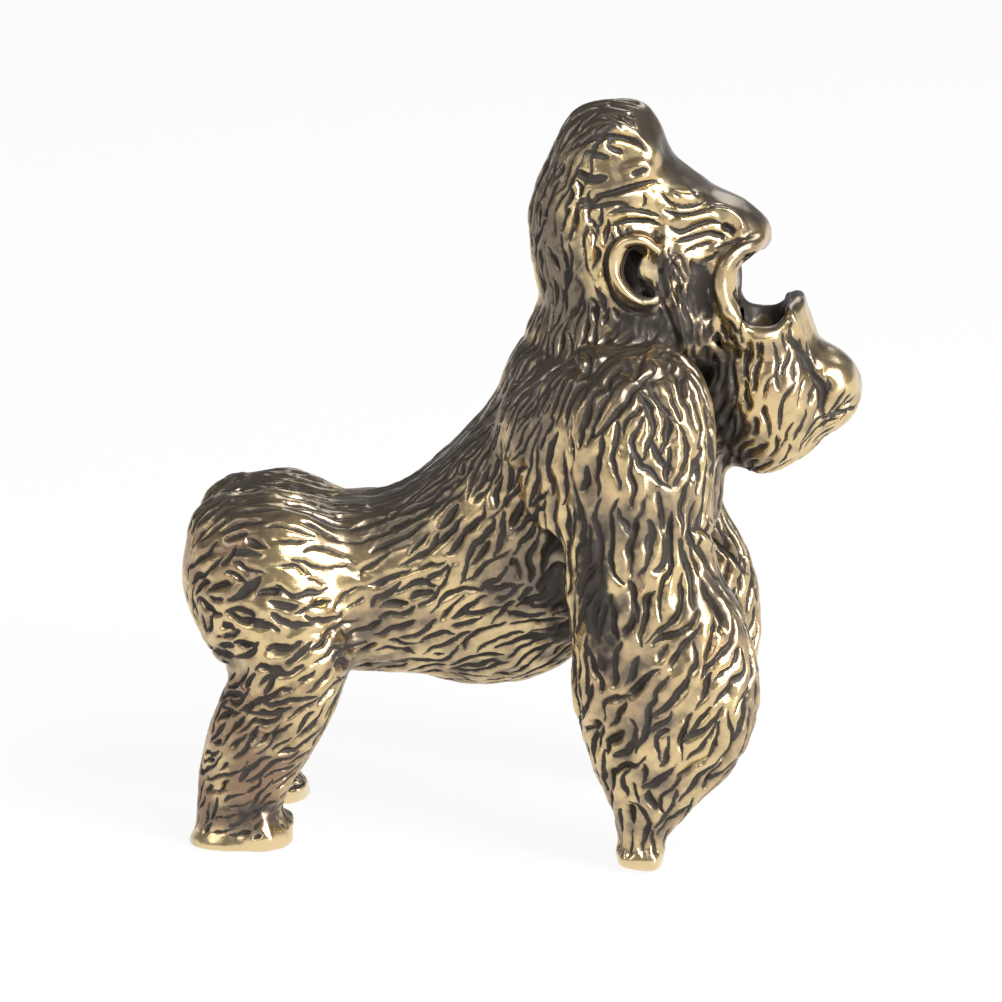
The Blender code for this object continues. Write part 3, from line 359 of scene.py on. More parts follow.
# Folds in the crook of the arm, the crest down the arm, and the ridge over the rump.
BODY_RAISED = (
    ("fold of the crook, upper", ((12.1, 22.3), (13.4, 21.1), (14.6, 19.8), (15.3, 19.0)), 0.7, 0.34),
    ("fold of the crook, lower", ((11.6, 21.3), (12.9, 20.3), (13.9, 19.3), (14.9, 18.2)), 0.6, 0.30),
    ("ridge of the rump", ((-22.1, 19.8), (-21.7, 20.6), (-21.3, 21.3), (-20.8, 22.1), (-20.2, 22.8),
     (-19.1, 23.5), (-17.9, 23.9), (-15.8, 23.8), (-13.6, 23.4), (-11.5, 22.9)), 0.8, 0.14),
    ("crest of the arm", ((10.7, 22.6), (10.7, 21.2), (10.8, 19.8), (10.6, 18.6)), 0.9, 0.34),
)
BODY_CUTS = (
    ("above the ridge", ((-21.0, 22.4), (-20.3, 23.2), (-19.1, 23.9), (-17.9, 24.3), (-15.8, 24.2),
     (-13.6, 23.8), (-11.5, 23.3)), 0.34, 0.16, 0.9),
    ("between the folds", ((11.7, 21.9), (13.1, 20.7), (14.3, 19.5), (15.1, 18.6)), 0.40, 0.30, 1.0),
    ("behind the crest", ((10.1, 22.8), (10.0, 21.0), (10.1, 19.2), (9.8, 18.0)), 0.46, 0.30, 1.0),
    ("before the crest", ((11.3, 22.4), (11.5, 20.8), (12.3, 19.4), (13.2, 18.2)), 0.44, 0.30, 1.0),
)


# Hands

def set_down_all():
    for obj in list(bpy.context.selected_objects):
        obj.select_set(False)


def put_on_bench(name, data):
    """A new object in the scene."""
    obj = bpy.data.objects.new(name, data)
    bpy.context.scene.collection.objects.link(obj)
    return obj


def close_up(obj, grain):
    """One closed skin over all of it, in an even grain."""
    modifier = obj.modifiers.new("closed", "REMESH")
    modifier.mode = "VOXEL"
    modifier.voxel_size = grain * MM


def even_out(obj, factor, passes, group=""):
    """The skin evened out, or just the places of a group."""
    modifier = obj.modifiers.new("evened", "SMOOTH")
    modifier.factor = factor
    modifier.iterations = passes
    modifier.vertex_group = group


def finish_modifiers(obj):
    """All that was set on the object is made final, in its order."""
    set_down_all()
    obj.select_set(True)
    bpy.context.view_layer.objects.active = obj
    for modifier in list(obj.modifiers):
        bpy.ops.object.modifier_apply(modifier=modifier.name)


def heading(turn, rise):
    """The way out from the right side, turned towards the front and raised by so many degrees."""
    turn, rise = math.radians(turn), math.radians(rise)
    return Vector((math.sin(turn) * math.cos(rise), -math.cos(turn) * math.cos(rise), math.sin(rise)))


def standpoint(side=-1):
    """Where the eye is, for the near side, or mirrored for the far side."""
    eye = SIGHT_AT + SIGHT_REACH * heading(SIGHT_TURN, SIGHT_RISE)
    eye.y *= -side
    return eye


def bowed(outline, step):
    """A smooth line through the given points, cut into short even steps."""
    points = [Vector((x, 0.0, z)) for x, z in outline]
    if len(points) == 1:
        return points
    longer = [points[0] * 2 - points[1]] + points + [points[-1] * 2 - points[-2]]
    line = []
    for a, b, c, d in zip(longer, longer[1:], longer[2:], longer[3:]):
        pieces = max(2, int((c - b).length / step))
        for i in range(pieces):
            t = i / pieces
            line.append(0.5 * ((2 * b) + (c - a) * t + (2 * a - 5 * b + 4 * c - d) * t * t
                               + (3 * b - a - 3 * c + d) * t ** 3))
    line.append(points[-1])
    return line


def folded(points):
    """The places as forward, out from the middle and up, for both sides alike."""
    return points * (1, 0, 1) + np.abs(points) * (0, 1, 0)


def nearness(here, place, reach):
    """1 at the place, falling to 0 at its reach."""
    return np.clip(1 - ((here - place) ** 2).sum(axis=1) / reach ** 2, 0, 1)


def read_skin(mesh):
    """The places of the mesh's points in millimetres, and their normals."""
    flat = np.empty(len(mesh.vertices) * 3, np.float32)
    mesh.vertices.foreach_get("co", flat)
    points = flat.reshape(-1, 3).astype(np.float64) / MM
    mesh.vertices.foreach_get("normal", flat)
    return points, flat.reshape(-1, 3).astype(np.float64)


def write_skin(mesh, points):
    mesh.vertices.foreach_set("co", (points * MM).astype(np.float32).ravel())


def keep_value(mesh, key, value):
    """A number kept at each point of the mesh, which the finish reads."""
    mesh.attributes.new(key, "FLOAT", "POINT").data.foreach_set("value", value.astype(np.float32))


def shell_of(mesh, points):
    return BVHTree.FromPolygons([Vector(p) for p in points], [tuple(f.vertices) for f in mesh.polygons])


# The skin

def braze_castings():
    """All the castings under one skin: the seams filled, and the filler taken back to the metal."""
    joined = bmesh.new()
    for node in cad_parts.values():
        casting = bmesh.new()
        casting.from_mesh(node.data)
        bmesh.ops.remove_doubles(casting, verts=casting.verts, dist=SAME_PLACE)
        casting.normal_update()
        for vert in casting.verts:
            vert.co += vert.normal * FILLER * MM
        spare = bpy.data.meshes.new("casting")
        casting.to_mesh(spare)
        casting.free()
        joined.from_mesh(spare)
        bpy.data.meshes.remove(spare)
    for (x, y, z), half, turn in FILLETS:
        for side in (-1, 1):
            place = (Matrix.Translation(Vector((x, y * side, z)) * MM)
                     @ Matrix.Rotation(math.radians(turn) * side, 4, "Z")
                     @ Matrix.Diagonal((half[0] * MM, half[1] * MM, half[2] * MM, 1.0)))
            bmesh.ops.create_icosphere(joined, subdivisions=3, radius=1.0, matrix=place)
    mesh = bpy.data.meshes.new("figure")
    joined.to_mesh(mesh)
    joined.free()
    figure = put_on_bench("figure", mesh)

    close_up(figure, FILLED_GRAIN)
    even_out(figure, 0.5, 6)
    back = figure.modifiers.new("back", "DISPLACE")
    back.strength = -FILLER * MM
    back.mid_level = 0.0
    even_out(figure, 0.5, 4)
    finish_modifiers(figure)
    blend_joins(figure)
    spread_and_file(figure)
    return figure


def blend_joins(figure):
    """The skin drawn smooth where one casting runs into the next with no edge."""
    points, _ = read_skin(figure.data)
    soft = np.zeros(len(points))
    for line, reach in BLENDED:
        for start, end in zip(line, line[1:]):
            for share in (0.0, *QUARTERS):
                place = np.array(start) * (1 - share) + np.array(end) * share
                for side in (1, -1):
                    away = np.linalg.norm(points - place * (1, side, 1), axis=1)
                    soft = np.maximum(soft, np.clip(1.6 * (1 - away / reach), 0, 1))
    group = figure.vertex_groups.new(name="blended")
    for weight in QUARTERS:
        rows = np.nonzero((soft > weight - QUARTERS[0]) & (soft <= weight))[0]
        group.add(rows.tolist(), weight, "REPLACE")
    even_out(figure, 0.5, BLEND_PASSES, "blended")
    finish_modifiers(figure)
    figure.vertex_groups.clear()


def spread_and_file(figure):
    """The jaw spread to its width, the front of each ear's rim filed off, and the toes filed to a slope."""
    points, _ = read_skin(figure.data)
    forward, up = points[:, 0], points[:, 2]
    side, out = np.sign(points[:, 1]), np.abs(points[:, 1])

    (x, z), reach, push, drop = SPREAD
    away = np.hypot(forward - x, up - z) / reach
    form = np.clip(1 - away ** 2, 0, 1) ** 1.5 * np.clip(out / SPREAD_FULL_FROM, 0, 1)
    out += push * form
    up -= drop * form

    (x, z), (half_x, half_z), level, slope = FILED
    away = ((forward - x) / half_x) ** 2 + ((up - z) / half_z) ** 2
    form = np.clip(1.8 * (1 - away), 0, 1)
    out -= form * np.maximum(0, out - level - slope * (forward - x))

    (x, z), steep, top = TOES
    proud = up - (z + steep * (x - forward))
    form = np.clip((top - up) / TOES_FADE, 0, 1) * (forward < TOES_BEHIND)
    up -= TOES_SHARE * form * np.clip(proud, 0, TOES_DEEPEST)

    points[:, 1] = side * out
    write_skin(figure.data, points)
    figure.data.update()
    even_out(figure, 0.4, 2)
    finish_modifiers(figure)


def refine(figure):
    """The same skin in a grain fine enough for the fur."""
    close_up(figure, SKIN_GRAIN)
    even_out(figure, 0.5, 5)
    finish_modifiers(figure)


# Chasing

LINE_STEP = 0.08                 # between the blows along a chased line
SAME_FACING = 0.1                # a cut reaches only skin that faces about the same way


class Chaser:
    """Cuts into and raises the skin along lines, and keeps what was cut and how dark it is left."""

    def __init__(self, points, normals, shell):
        self.points, self.normals, self.shell = points, normals, shell
        self.tree = KDTree(len(points))
        for i, p in enumerate(points):
            self.tree.insert(p, i)
        self.tree.balance()
        self.depth, self.height, self.swelled, self.dark = (np.zeros(len(points)) for _ in range(4))

    def new_layer(self):
        """What was cut so far, set aside so that the next cuts go down from there."""
        done, self.depth = self.depth, np.zeros(len(self.points))
        return done

    def lay_on(self, outline, side):
        """The line as it falls on the skin, seen from the figure's side."""
        eye = standpoint(side)
        laid = []
        for point in bowed(outline, LINE_STEP):
            target = Vector((point.x, side * CHEEK_OUT, point.z))
            hit, normal, _, _ = self.shell.ray_cast(eye, (target - eye).normalized())
            if hit is not None:
                laid.append((hit, normal))
        return laid

    def near(self, point, reach, facing):
        """The points of the skin within reach that face the same way, and how far off each is."""
        found = self.tree.find_range(point, reach)
        rows = np.fromiter((f[1] for f in found), np.int64, len(found))
        away = np.fromiter((f[2] for f in found), np.float64, len(found))
        same = self.normals[rows] @ np.array(facing) > SAME_FACING
        return rows[same], away[same]

    def cut(self, laid, width, depth, dark):
        """A graver's cut, which narrows and runs out over a quarter of its length at each end."""
        for i, (point, normal) in enumerate(laid):
            share = (i + 0.5) / len(laid)
            full = min(1.0, min(share, 1 - share) / 0.25) ** 0.6
            reach = 0.5 * width * (0.45 + 0.55 * full)
            rows, away = self.near(point, reach, normal)
            form = 1.0 - (away / reach) ** 2
            np.maximum.at(self.depth, rows, depth * full * form)
            np.maximum.at(self.dark, rows, dark * np.clip(1.7 * form * full, 0, 1))

    def raise_line(self, laid, width, height):
        """A round ridge, which sinks into the skin over a fifth of its length at each end."""
        reach = 0.75 * width
        for i, (point, normal) in enumerate(laid):
            share = (i + 0.5) / len(laid)
            full = min(1.0, min(share, 1 - share) / 0.2)
            full = full * full * (3 - 2 * full)
            rows, away = self.near(point, reach, normal)
            form = (1.0 - (away / reach) ** 2) ** 2
            np.maximum.at(self.height, rows, height * full * form)

    def swell(self, laid, reach, height):
        """A low mound."""
        for point, normal in laid:
            rows, away = self.near(point, reach, normal)
            self.swelled[rows] += height * (1.0 - (away / reach) ** 2) ** 2

    def sink(self, laid, width, depth, dark):
        """A hollow pressed in with a round punch."""
        for point, normal in laid:
            rows, away = self.near(point, 0.5 * width, normal)
            form = (1.0 - (2 * away / width) ** 2) ** 1.5
            np.maximum.at(self.depth, rows, depth * form)
            np.maximum.at(self.dark, rows, dark * np.clip(1.6 * form, 0, 1))


def chase_lines(chaser):
    """The face, and the folds and ridges of the body, on both sides."""
    for side in (-1, 1):
        for middle, reach, height in SWELLS:
            chaser.swell(chaser.lay_on((middle,), side), reach, height)
        for _, outline, width, height in FACE_RAISED + BODY_RAISED:
            chaser.raise_line(chaser.lay_on(outline, side), width, height)
        for _, outline, width, depth, dark in FACE_CUTS + BODY_CUTS:
            chaser.cut(chaser.lay_on(outline, side), width, depth, dark)
        for _, outline, width, depth, dark in FACE_SUNK:
            chaser.sink(chaser.lay_on(outline, side), width, depth, dark)


# The fur

STRIDE = 0.2                     # a stroke is drawn in strides of this length
STRETCH = 1.6                    # strokes run this much longer than the table says, where there is room
FEWEST_POINTS = 4                # a stroke with fewer is left out
CLOSEST = 0.17                   # strokes that meet come this close
FAINTEST = 0.12                  # below this share of its depth a stroke is not cut
UP, FORWARD = Vector((0.0, 0.0, 1.0)), Vector((1.0, 0.0, 0.0))


class Fur:
    """How the fur lies all over the shell, and the strokes already laid, which keep their distance."""

    def __init__(self, seed, points, cell):
        self.chance = random.Random(seed)
        rows = np.array(FUR)
        lean = np.radians(rows[:, 3])
        here = folded(points)
        away = ((here[:, None, :] - rows[None, :, :3]) ** 2).sum(axis=2)
        weight = 1.0 / (away + 0.4) ** 2.2
        weight /= weight.sum(axis=1, keepdims=True)
        # doubled angles, so that a lean and its opposite count as the same lie
        across, along = weight @ np.sin(2 * lean), weight @ np.cos(2 * lean)
        self.lean = (0.5 * np.arctan2(across, along)).tolist()
        self.sizes = (weight @ rows[:, 4:8]).tolist()
        bare = here[:, 2] < SOLE_BAND
        for x, y, z, reach in BARE:
            bare |= ((here - (x, y, z)) ** 2).sum(axis=1) < reach * reach
        self.bare = bare.tolist()
        self.taken = {}
        self.cell = cell

    def key(self, point):
        """The box of space that the point is in."""
        return int(point.x // self.cell), int(point.y // self.cell), int(point.z // self.cell)

    def crowded(self, point, gap, own=None):
        """Whether another stroke comes closer than the gap, which is no wider than a box."""
        kx, ky, kz = self.key(point)
        px, py, pz = point
        limit = gap * gap
        taken = self.taken
        for i in (kx - 1, kx, kx + 1):
            for j in (ky - 1, ky, ky + 1):
                for k in (kz - 1, kz, kz + 1):
                    for x, y, z, stroke in taken.get((i, j, k), ()):
                        if stroke != own and (px - x) ** 2 + (py - y) ** 2 + (pz - z) ** 2 < limit:
                            return True
        return False

    def hold(self, point, stroke):
        self.taken.setdefault(self.key(point), []).append((point.x, point.y, point.z, stroke))


def along_skin(angle, normal):
    """The way of the lie on the skin. Where the skin faces along the lie, strokes run up it instead."""
    lie = Vector((math.cos(angle), 0.0, math.sin(angle)))
    for way, least in ((lie, 0.25), (UP, 0.2), (FORWARD, 0.0)):
        ahead = way - normal * way.dot(normal)
        if ahead.length >= least:
            break
    return ahead.normalized()


def swerve(point, own, seed, sway):
    """How far a stroke leans off the lie: a broad wave in all of the fur, and a short one of its own."""
    shared = noise.noise(point * 0.5 + Vector((3.1, 7.7, seed))) * sway * 1.5
    return shared + noise.noise(point * 1.7 + Vector((9.2, own * 0.37, seed))) * sway * 1.3


def grow_fur(shell, corner_of, starts, seed, cell, scale, sway, meet):
    """The strokes, each a list of (point, normal) with its width, its depth and a number by chance."""
    fur = Fur(seed, starts, cell)
    chance = fur.chance
    order = list(range(len(starts)))
    chance.shuffle(order)
    strokes = []
    for row in order:
        if fur.bare[row]:
            continue
        length, width, gap, depth = fur.sizes[row]
        gap = min(cell, gap * scale * (0.85 + 0.35 * chance.random()))
        start = Vector(starts[row])
        if fur.crowded(start, gap):
            continue
        own = len(strokes)
        length *= STRETCH * (0.45 + 1.1 * chance.random())
        close = max(CLOSEST, gap * 0.2) if chance.random() < meet else gap * 0.62
        turn = chance.uniform(-1, 1) * sway * 0.5
        bend = chance.uniform(-1, 1) * sway * 0.5
        halves = []
        first, first_normal, _, _ = shell.find_nearest(start)
        for way in (1, -1):
            point, normal, place = first.copy(), first_normal, row
            half = []
            walked = 0.0
            last = None
            while walked < 0.5 * length:
                angle = fur.lean[place] + turn + swerve(point, own, seed, sway) + way * bend * walked
                ahead = along_skin(angle, normal)
                if last is None:
                    ahead *= way
                elif ahead.dot(last) < 0:
                    ahead = -ahead
                last = ahead
                point, normal, face, _ = shell.find_nearest(point + ahead * STRIDE)
                walked += STRIDE
                place = corner_of[face]
                if fur.bare[place] or fur.crowded(point, close, own):
                    break
                half.append((point, normal))
            halves.append(half)
        line = halves[1][::-1] + [(first, first_normal)] + halves[0]
        if len(line) < FEWEST_POINTS:
            continue
        for point, _ in line:
            fur.hold(point, own)
        thick = 0.72 + 0.6 * chance.random()
        strokes.append((line, width * thick, depth * (0.75 + 0.5 * chance.random()), chance.random()))
    return strokes


def cut_fur(chaser, strokes, wide, deep, blunt, dark, step):
    """The strokes cut so many times as wide and as deep as drawn. Each fades towards its far end."""
    for line, width, depth, luck in strokes:
        width, depth = width * wide, depth * deep
        if luck < 0.5:
            line = line[::-1]
        count = max(3, int(STRIDE * (len(line) - 1) / step))
        filled = dark * (0.5 + 0.5 * ((luck * 7.0) % 1.0) ** 0.5)
        own = Vector((luck * 9.0, 4.4, 1.7))
        for i in range(count + 1):
            share = i / count
            at = share * (len(line) - 1)
            k = min(int(at), len(line) - 2)
            point = line[k][0].lerp(line[k + 1][0], at - k)
            full = min(1.0, (share + 0.04) / blunt) ** 0.5 * max(0.0, 1.0 - share ** 2.2) ** 0.55
            if full < FAINTEST:
                continue
            swollen = 1.0 + 0.42 * noise.noise(point * 1.3 + own)
            reach = 0.5 * width * (0.25 + 0.75 * full) * swollen
            rows, away = chaser.near(point, reach, line[k][1])
            form = 1.0 - (away / reach) ** 2
            np.maximum.at(chaser.depth, rows, depth * full * swollen * form)
            if filled > 0:
                np.maximum.at(chaser.dark, rows, filled * np.clip(1.7 * form * full ** 0.5, 0, 1))


# What the chasing leaves

WAVES = 14                       # in a ripple
RIPPLES = ((1.7, 3, 0.035), (0.8, 4, 0.012))    # length, seed and height
DIP_FULL = 0.3                   # depth of the broad grooves from which the film lies full in them
# Shares of film: everywhere, and more of it on top, where the darker tops are partly painted shade, in the
# hollows, where it is partly painted shade, and in the dips.
FILM_ALL, FILM_AND_SHADE_ON_TOP, FILM_AND_SHADE_IN_HOLLOWS, FILM_DIP = 0.42, 0.40, 0.9, 0.32
# looks round the skin find how shut in it is, which is painted dark as patina and painted shade
LOOK_EVERY = 3                   # one point of the skin in so many looks round
LOOK_REACH = 7.0
LOOK_WAYS = 40                   # all round
LOOK_FROM = 0.12                 # above the skin
GRAZING = 0.15                   # a look flatter along the skin than this does not count


def ripple(points, length, seed):
    """A gentle unevenness left by wax and file, between -1 and 1."""
    chance = np.random.default_rng(seed)
    total = np.zeros(len(points))
    for _ in range(WAVES):
        way = chance.normal(size=3)
        way *= 2 * math.pi / (length * chance.uniform(0.7, 1.6) * np.linalg.norm(way))
        total += np.sin(points @ way + chance.uniform(0, 2 * math.pi))
    return total / math.sqrt(WAVES / 2) / 2


def recesses(points, normals, shell):
    """How shut in some of the skin's points are, from 0 in the open to 1 deep in a hollow, for the patina and
    painted shade there.
    """
    ways = []
    golden = math.pi * (3 - math.sqrt(5))
    for k in range(LOOK_WAYS):
        z = 1 - (2 * k + 1) / LOOK_WAYS
        r = math.sqrt(1 - z * z)
        ways.append(Vector((r * math.cos(k * golden), r * math.sin(k * golden), z)))
    tree_rows = range(0, len(points), LOOK_EVERY)
    tree = KDTree(len(tree_rows))
    shut = np.zeros(len(tree_rows))
    for i, row in enumerate(tree_rows):
        normal = Vector(normals[row])
        start = Vector(points[row]) + normal * LOOK_FROM
        seen = closed = 0.0
        for way in ways:
            facing = way.dot(normal)
            if facing < GRAZING:
                continue
            seen += facing
            hit, _, _, away = shell.ray_cast(start, way, LOOK_REACH)
            if hit is not None:
                closed += facing * (1.0 - 0.6 * away / LOOK_REACH)
        shut[i] = closed / seen
        tree.insert(points[row], i)
    tree.balance()
    return tree, shut


def shut_in(points, hollows):
    """How shut in each point is, from the three looks nearest to it, for the patina and painted shade in the
    hollows.
    """
    tree, shut = hollows
    patina_and_shade = np.empty(len(points))
    for i, point in enumerate(points):
        found = tree.find_n(point, 3)
        weights = [1.0 / (f[2] + 0.05) for f in found]
        patina_and_shade[i] = sum(w * shut[f[1]] for w, f in zip(weights, found)) / sum(weights)
    return patina_and_shade


def film_left(up, patina_and_shade, dip):
    """How much film is left: most on top and in the hollows, where it is partly painted shade, and in the
    dips, least where hands reach.
    """
    up = np.clip((up - 0.15) / 0.65, 0, 1)
    up = up * up * (3 - 2 * up)
    return FILM_ALL + FILM_AND_SHADE_ON_TOP * up + FILM_AND_SHADE_IN_HOLLOWS * patina_and_shade + FILM_DIP * dip


def weather(points, normals, hollows, dip, up):
    """How shut in each point of the skin is, with the painted shade in its hollows and where shade falls; how
    much film it has, partly painted shade on top and painted highlights where it is rubbed off; and how
    coppery it is.
    """
    patina_and_shade = shut_in(points, hollows)
    film_and_shade = film_left(up, patina_and_shade, dip)
    here = folded(points)
    # the table adds patina and painted shade, film, and painted highlights where the film is taken off
    for *place, reach, left, film_shade_and_highlight in PATINA_SHADE_AND_HIGHLIGHTS:
        form = nearness(here, place, reach)
        patina_and_shade += left * form
        film_and_shade += film_shade_and_highlight * form
    copper = np.zeros(len(points))
    for *place, reach, share in COPPERY:
        copper = np.maximum(copper, share * nearness(here, place, reach))
    # in the mouth, the walls that face inwards and the shut-in skin along the middle are painted dark all
    # over, as patina and painted shade
    middle, half = MOUTH
    inside = (((here - middle) / half) ** 2).sum(axis=1) < 1
    inwards = normals[:, 1] * np.sign(points[:, 1]) < -0.1
    inside &= inwards | (here[:, 1] < 1.2) & (patina_and_shade > 0.3)
    patina_and_shade = np.where(inside, 1.0, np.clip(patina_and_shade, 0, 1))
    return patina_and_shade, film_and_shade, copper


# Cutting the skin back into its castings

OWN_VOTE = 1.4                   # a triangle's own vote, against 1 for each neighbour
VOTES = 8
PATCH_ROUNDS = 4


def neighbours_of(mesh):
    """For each triangle the three triangles across its edges."""
    count = len(mesh.polygons)
    edges = np.empty(count * 3, np.int32)
    mesh.loops.foreach_get("edge_index", edges)
    faces = np.repeat(np.arange(count), 3)
    order = np.argsort(edges, kind="stable")
    sorted_edges = edges[order]
    pair = np.nonzero(sorted_edges[1:] == sorted_edges[:-1])[0]
    across = np.full(count * 3, -1, np.int64)
    across[order[pair]] = faces[order[pair + 1]]
    across[order[pair + 1]] = faces[order[pair]]
    return across.reshape(-1, 3)


def share_out(mesh, points):
    """The castings' names, which of them each triangle of the skin belongs to, and its corners."""
    names = list(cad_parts)
    corners, triangles, owner = [], [], []
    for k, name in enumerate(names):
        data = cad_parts[name].data
        base = len(corners)
        corners += [vert.co / MM for vert in data.vertices]
        triangles += [[base + i for i in face.vertices] for face in data.polygons]
        owner += [k] * len(data.polygons)
    castings = BVHTree.FromPolygons(corners, triangles)
    rows = np.empty(len(mesh.polygons) * 3, np.int32)
    mesh.polygons.foreach_get("vertices", rows)
    rows = rows.reshape(-1, 3)
    near = np.array([owner[castings.find_nearest(point)[2]] for point in points])
    across = neighbours_of(mesh)
    label = straighten(near[rows[:, 0]], across, len(names))
    join_patches(label, across.tolist())
    return names, label, rows


def straighten(label, across, kinds):
    """The borders made even: each triangle goes with most of its neighbours, several times over."""
    index = np.arange(len(label))
    for _ in range(VOTES):
        votes = np.zeros((len(label), kinds), np.float32)
        votes[index, label] += OWN_VOTE
        for other in across.T:
            valid = other >= 0
            np.add.at(votes, (index[valid], label[other[valid]]), 1.0)
        label = votes.argmax(axis=1)
    return label


def patches_in(labels, across):
    """Each patch of skin that hangs together: whose it is, its triangles, and who borders on it how often."""
    seen = [False] * len(labels)
    patches = []
    for first, mine in enumerate(labels):
        if seen[first]:
            continue
        seen[first] = True
        patch, edge, stack = [first], {}, [first]
        while stack:
            for other in across[stack.pop()]:
                if other < 0:
                    continue
                if labels[other] != mine:
                    edge[labels[other]] = edge.get(labels[other], 0) + 1
                elif not seen[other]:
                    seen[other] = True
                    patch.append(other)
                    stack.append(other)
        patches.append((mine, patch, edge))
    return patches


def join_patches(label, across):
    """Each casting keeps its largest patch of skin, and loose patches go to what surrounds them."""
    for _ in range(PATCH_ROUNDS):
        patches = patches_in(label.tolist(), across)
        largest = {}
        for mine, patch, edge in patches:
            if len(patch) > len(largest.get(mine, ())):
                largest[mine] = patch
        loose = [(patch, edge) for mine, patch, edge in patches if patch is not largest[mine] and edge]
        for patch, edge in loose:
            label[patch] = max(edge, key=edge.get)
        if not loose:
            break


def rims_of(edges):
    """The border's edges sorted into the rims that they make up."""
    root = {}

    def find(v):
        while root.setdefault(v, v) != v:
            root[v] = root[root[v]]
            v = root[v]
        return v

    for a, b in edges:
        root[find(a)] = find(b)
    rims = {}
    for a, b in edges:
        rims.setdefault(find(a), []).append((a, b))
    return rims.values()


def part_piece(name, rows, points, normals, values):
    """One casting's own piece of the skin, closed where it meets its neighbours."""
    used, packed = np.unique(rows, return_inverse=True)
    triangles = packed.reshape(-1, 3)
    corners = points[used]
    facing = normals[used]
    directed = np.concatenate((triangles[:, [0, 1]], triangles[:, [1, 2]], triangles[:, [2, 0]]))
    size = len(used)
    forward = directed[:, 0] * size + directed[:, 1]
    backward = directed[:, 1] * size + directed[:, 0]
    border = directed[~np.isin(forward, backward)]

    added, caps = [], []
    for rim in rims_of(border.tolist()):
        ring = sorted({v for edge in rim for v in edge})
        added.append(corners[ring].mean(axis=0))
        middle = size + len(added) - 1
        caps += [(b, a, middle) for a, b in rim]
    if added:
        corners = np.concatenate((corners, np.array(added)))
        facing = np.concatenate((facing, np.tile(UP, (len(added), 1))))
    faces = np.concatenate((triangles, np.array(caps, np.int64).reshape(-1, 3)))

    mesh = bpy.data.meshes.new(name)
    mesh.vertices.add(len(corners))
    write_skin(mesh, corners)
    mesh.loops.add(len(faces) * 3)
    mesh.loops.foreach_set("vertex_index", faces.astype(np.int32).ravel())
    mesh.polygons.add(len(faces))
    mesh.polygons.foreach_set("loop_start", np.arange(0, len(faces) * 3, 3, dtype=np.int32))
    mesh.polygons.foreach_set("use_smooth", np.arange(len(faces)) < len(triangles))
    mesh.update(calc_edges=True)
    for key, value in values.items():
        keep_value(mesh, key, np.concatenate((value[used], np.ones(len(added)))))

    # an edge of the border is sharp, because the skin turns into a flat cap there
    if len(border):
        ends = np.empty(len(mesh.edges) * 2, np.int32)
        mesh.edges.foreach_get("vertices", ends)
        ends = np.sort(ends.reshape(-1, 2), axis=1).astype(np.int64)
        border = np.sort(border, axis=1)
        sharp = np.isin(ends[:, 0] * size * 2 + ends[:, 1], border[:, 0] * size * 2 + border[:, 1])
        mesh.attributes.new("sharp_edge", "BOOLEAN", "EDGE").data.foreach_set("value", sharp)
    mesh.normals_split_custom_set_from_vertices([tuple(n) for n in facing])
    return put_on_bench(name, mesh)


# Finishes

# the colour of the patina in the cuts, also painted into the shut-in hollows as shade
PATINA_AND_SHADE = (0.056, 0.047, 0.040, 1)
COPPER = (0.30, 0.19, 0.118, 1)
DARK_GLINT = (0.25, 0.24, 0.23, 1)          # colour of the gloss on the patina, seen flat along it
DARK_ROUGH = 0.52
# Patterns in the brass, per metre: patches of 6 mm, blotches of 2.3 mm, breaks of 0.8 mm, a grain of 0.2 mm.
PATCHES, BLOTCHES, BREAKS, GRAIN = 170.0, 430.0, 1300.0, 5200.0
# How fast the cuts, the patina and painted shade in the hollows, and the film go from nothing to all.
CUT_EDGE, HOLLOW_SHADE_EDGE, FILM_EDGE = (0.30, 0.54), (0.34, 0.74), (-0.30, 0.42)
GRAIN_RELIEF = 0.00005                       # metres


class Bench:
    """A material's or the world's nodes, added and joined by name."""

    def __init__(self, owner):
        owner.use_nodes = True
        self.tree = owner.node_tree
        self.tree.nodes.clear()

    def add(self, kind, settings=None, **sockets):
        """A node with its settings, and a value or a link for each named socket, or for i and its number."""
        node = self.tree.nodes.new(kind)
        for key, value in (settings or {}).items():
            setattr(node, key, value)
        for key, value in sockets.items():
            numbered = key[0] == "i" and key[1:].isdigit()
            socket = node.inputs[int(key[1:]) if numbered else key.replace("_", " ")]
            if isinstance(value, bpy.types.NodeSocket):
                self.tree.links.new(value, socket)
            else:
                socket.default_value = value
        return node

    def value_at(self, key):
        """The number that was kept at each point."""
        return self.add("ShaderNodeAttribute", {"attribute_name": key}).outputs["Fac"]

    def math(self, how, a, b):
        return self.add("ShaderNodeMath", {"operation": how}, i0=a, i1=b).outputs[0]

    def more(self, value, *parts):
        """The value with a share of each other one added."""
        for other, share in parts:
            value = self.math("ADD", value, self.math("MULTIPLY", other, share))
        return value

    def mix(self, share, a, b):
        """From colour a to colour b."""
        return self.add("ShaderNodeMix", {"data_type": "RGBA"}, i0=share, i6=a, i7=b).outputs[2]

    def blend(self, share, a, b):
        """From number a to number b."""
        return self.add("ShaderNodeMix", {"data_type": "FLOAT"}, i0=share, i2=a, i3=b).outputs[0]

    def spread(self, value, low, high):
        """0 up to the low value, and 1 from the high one on."""
        node = self.add("ShaderNodeMapRange", {"interpolation_type": "SMOOTHSTEP"},
                        Value=value, From_Min=low, From_Max=high)
        return node.outputs[0]

    def grain(self, place, scale, detail, rough=0.55):
        node = self.add("ShaderNodeTexNoise", Vector=place, Scale=scale, Detail=detail, Roughness=rough)
        return node.outputs["Fac"]


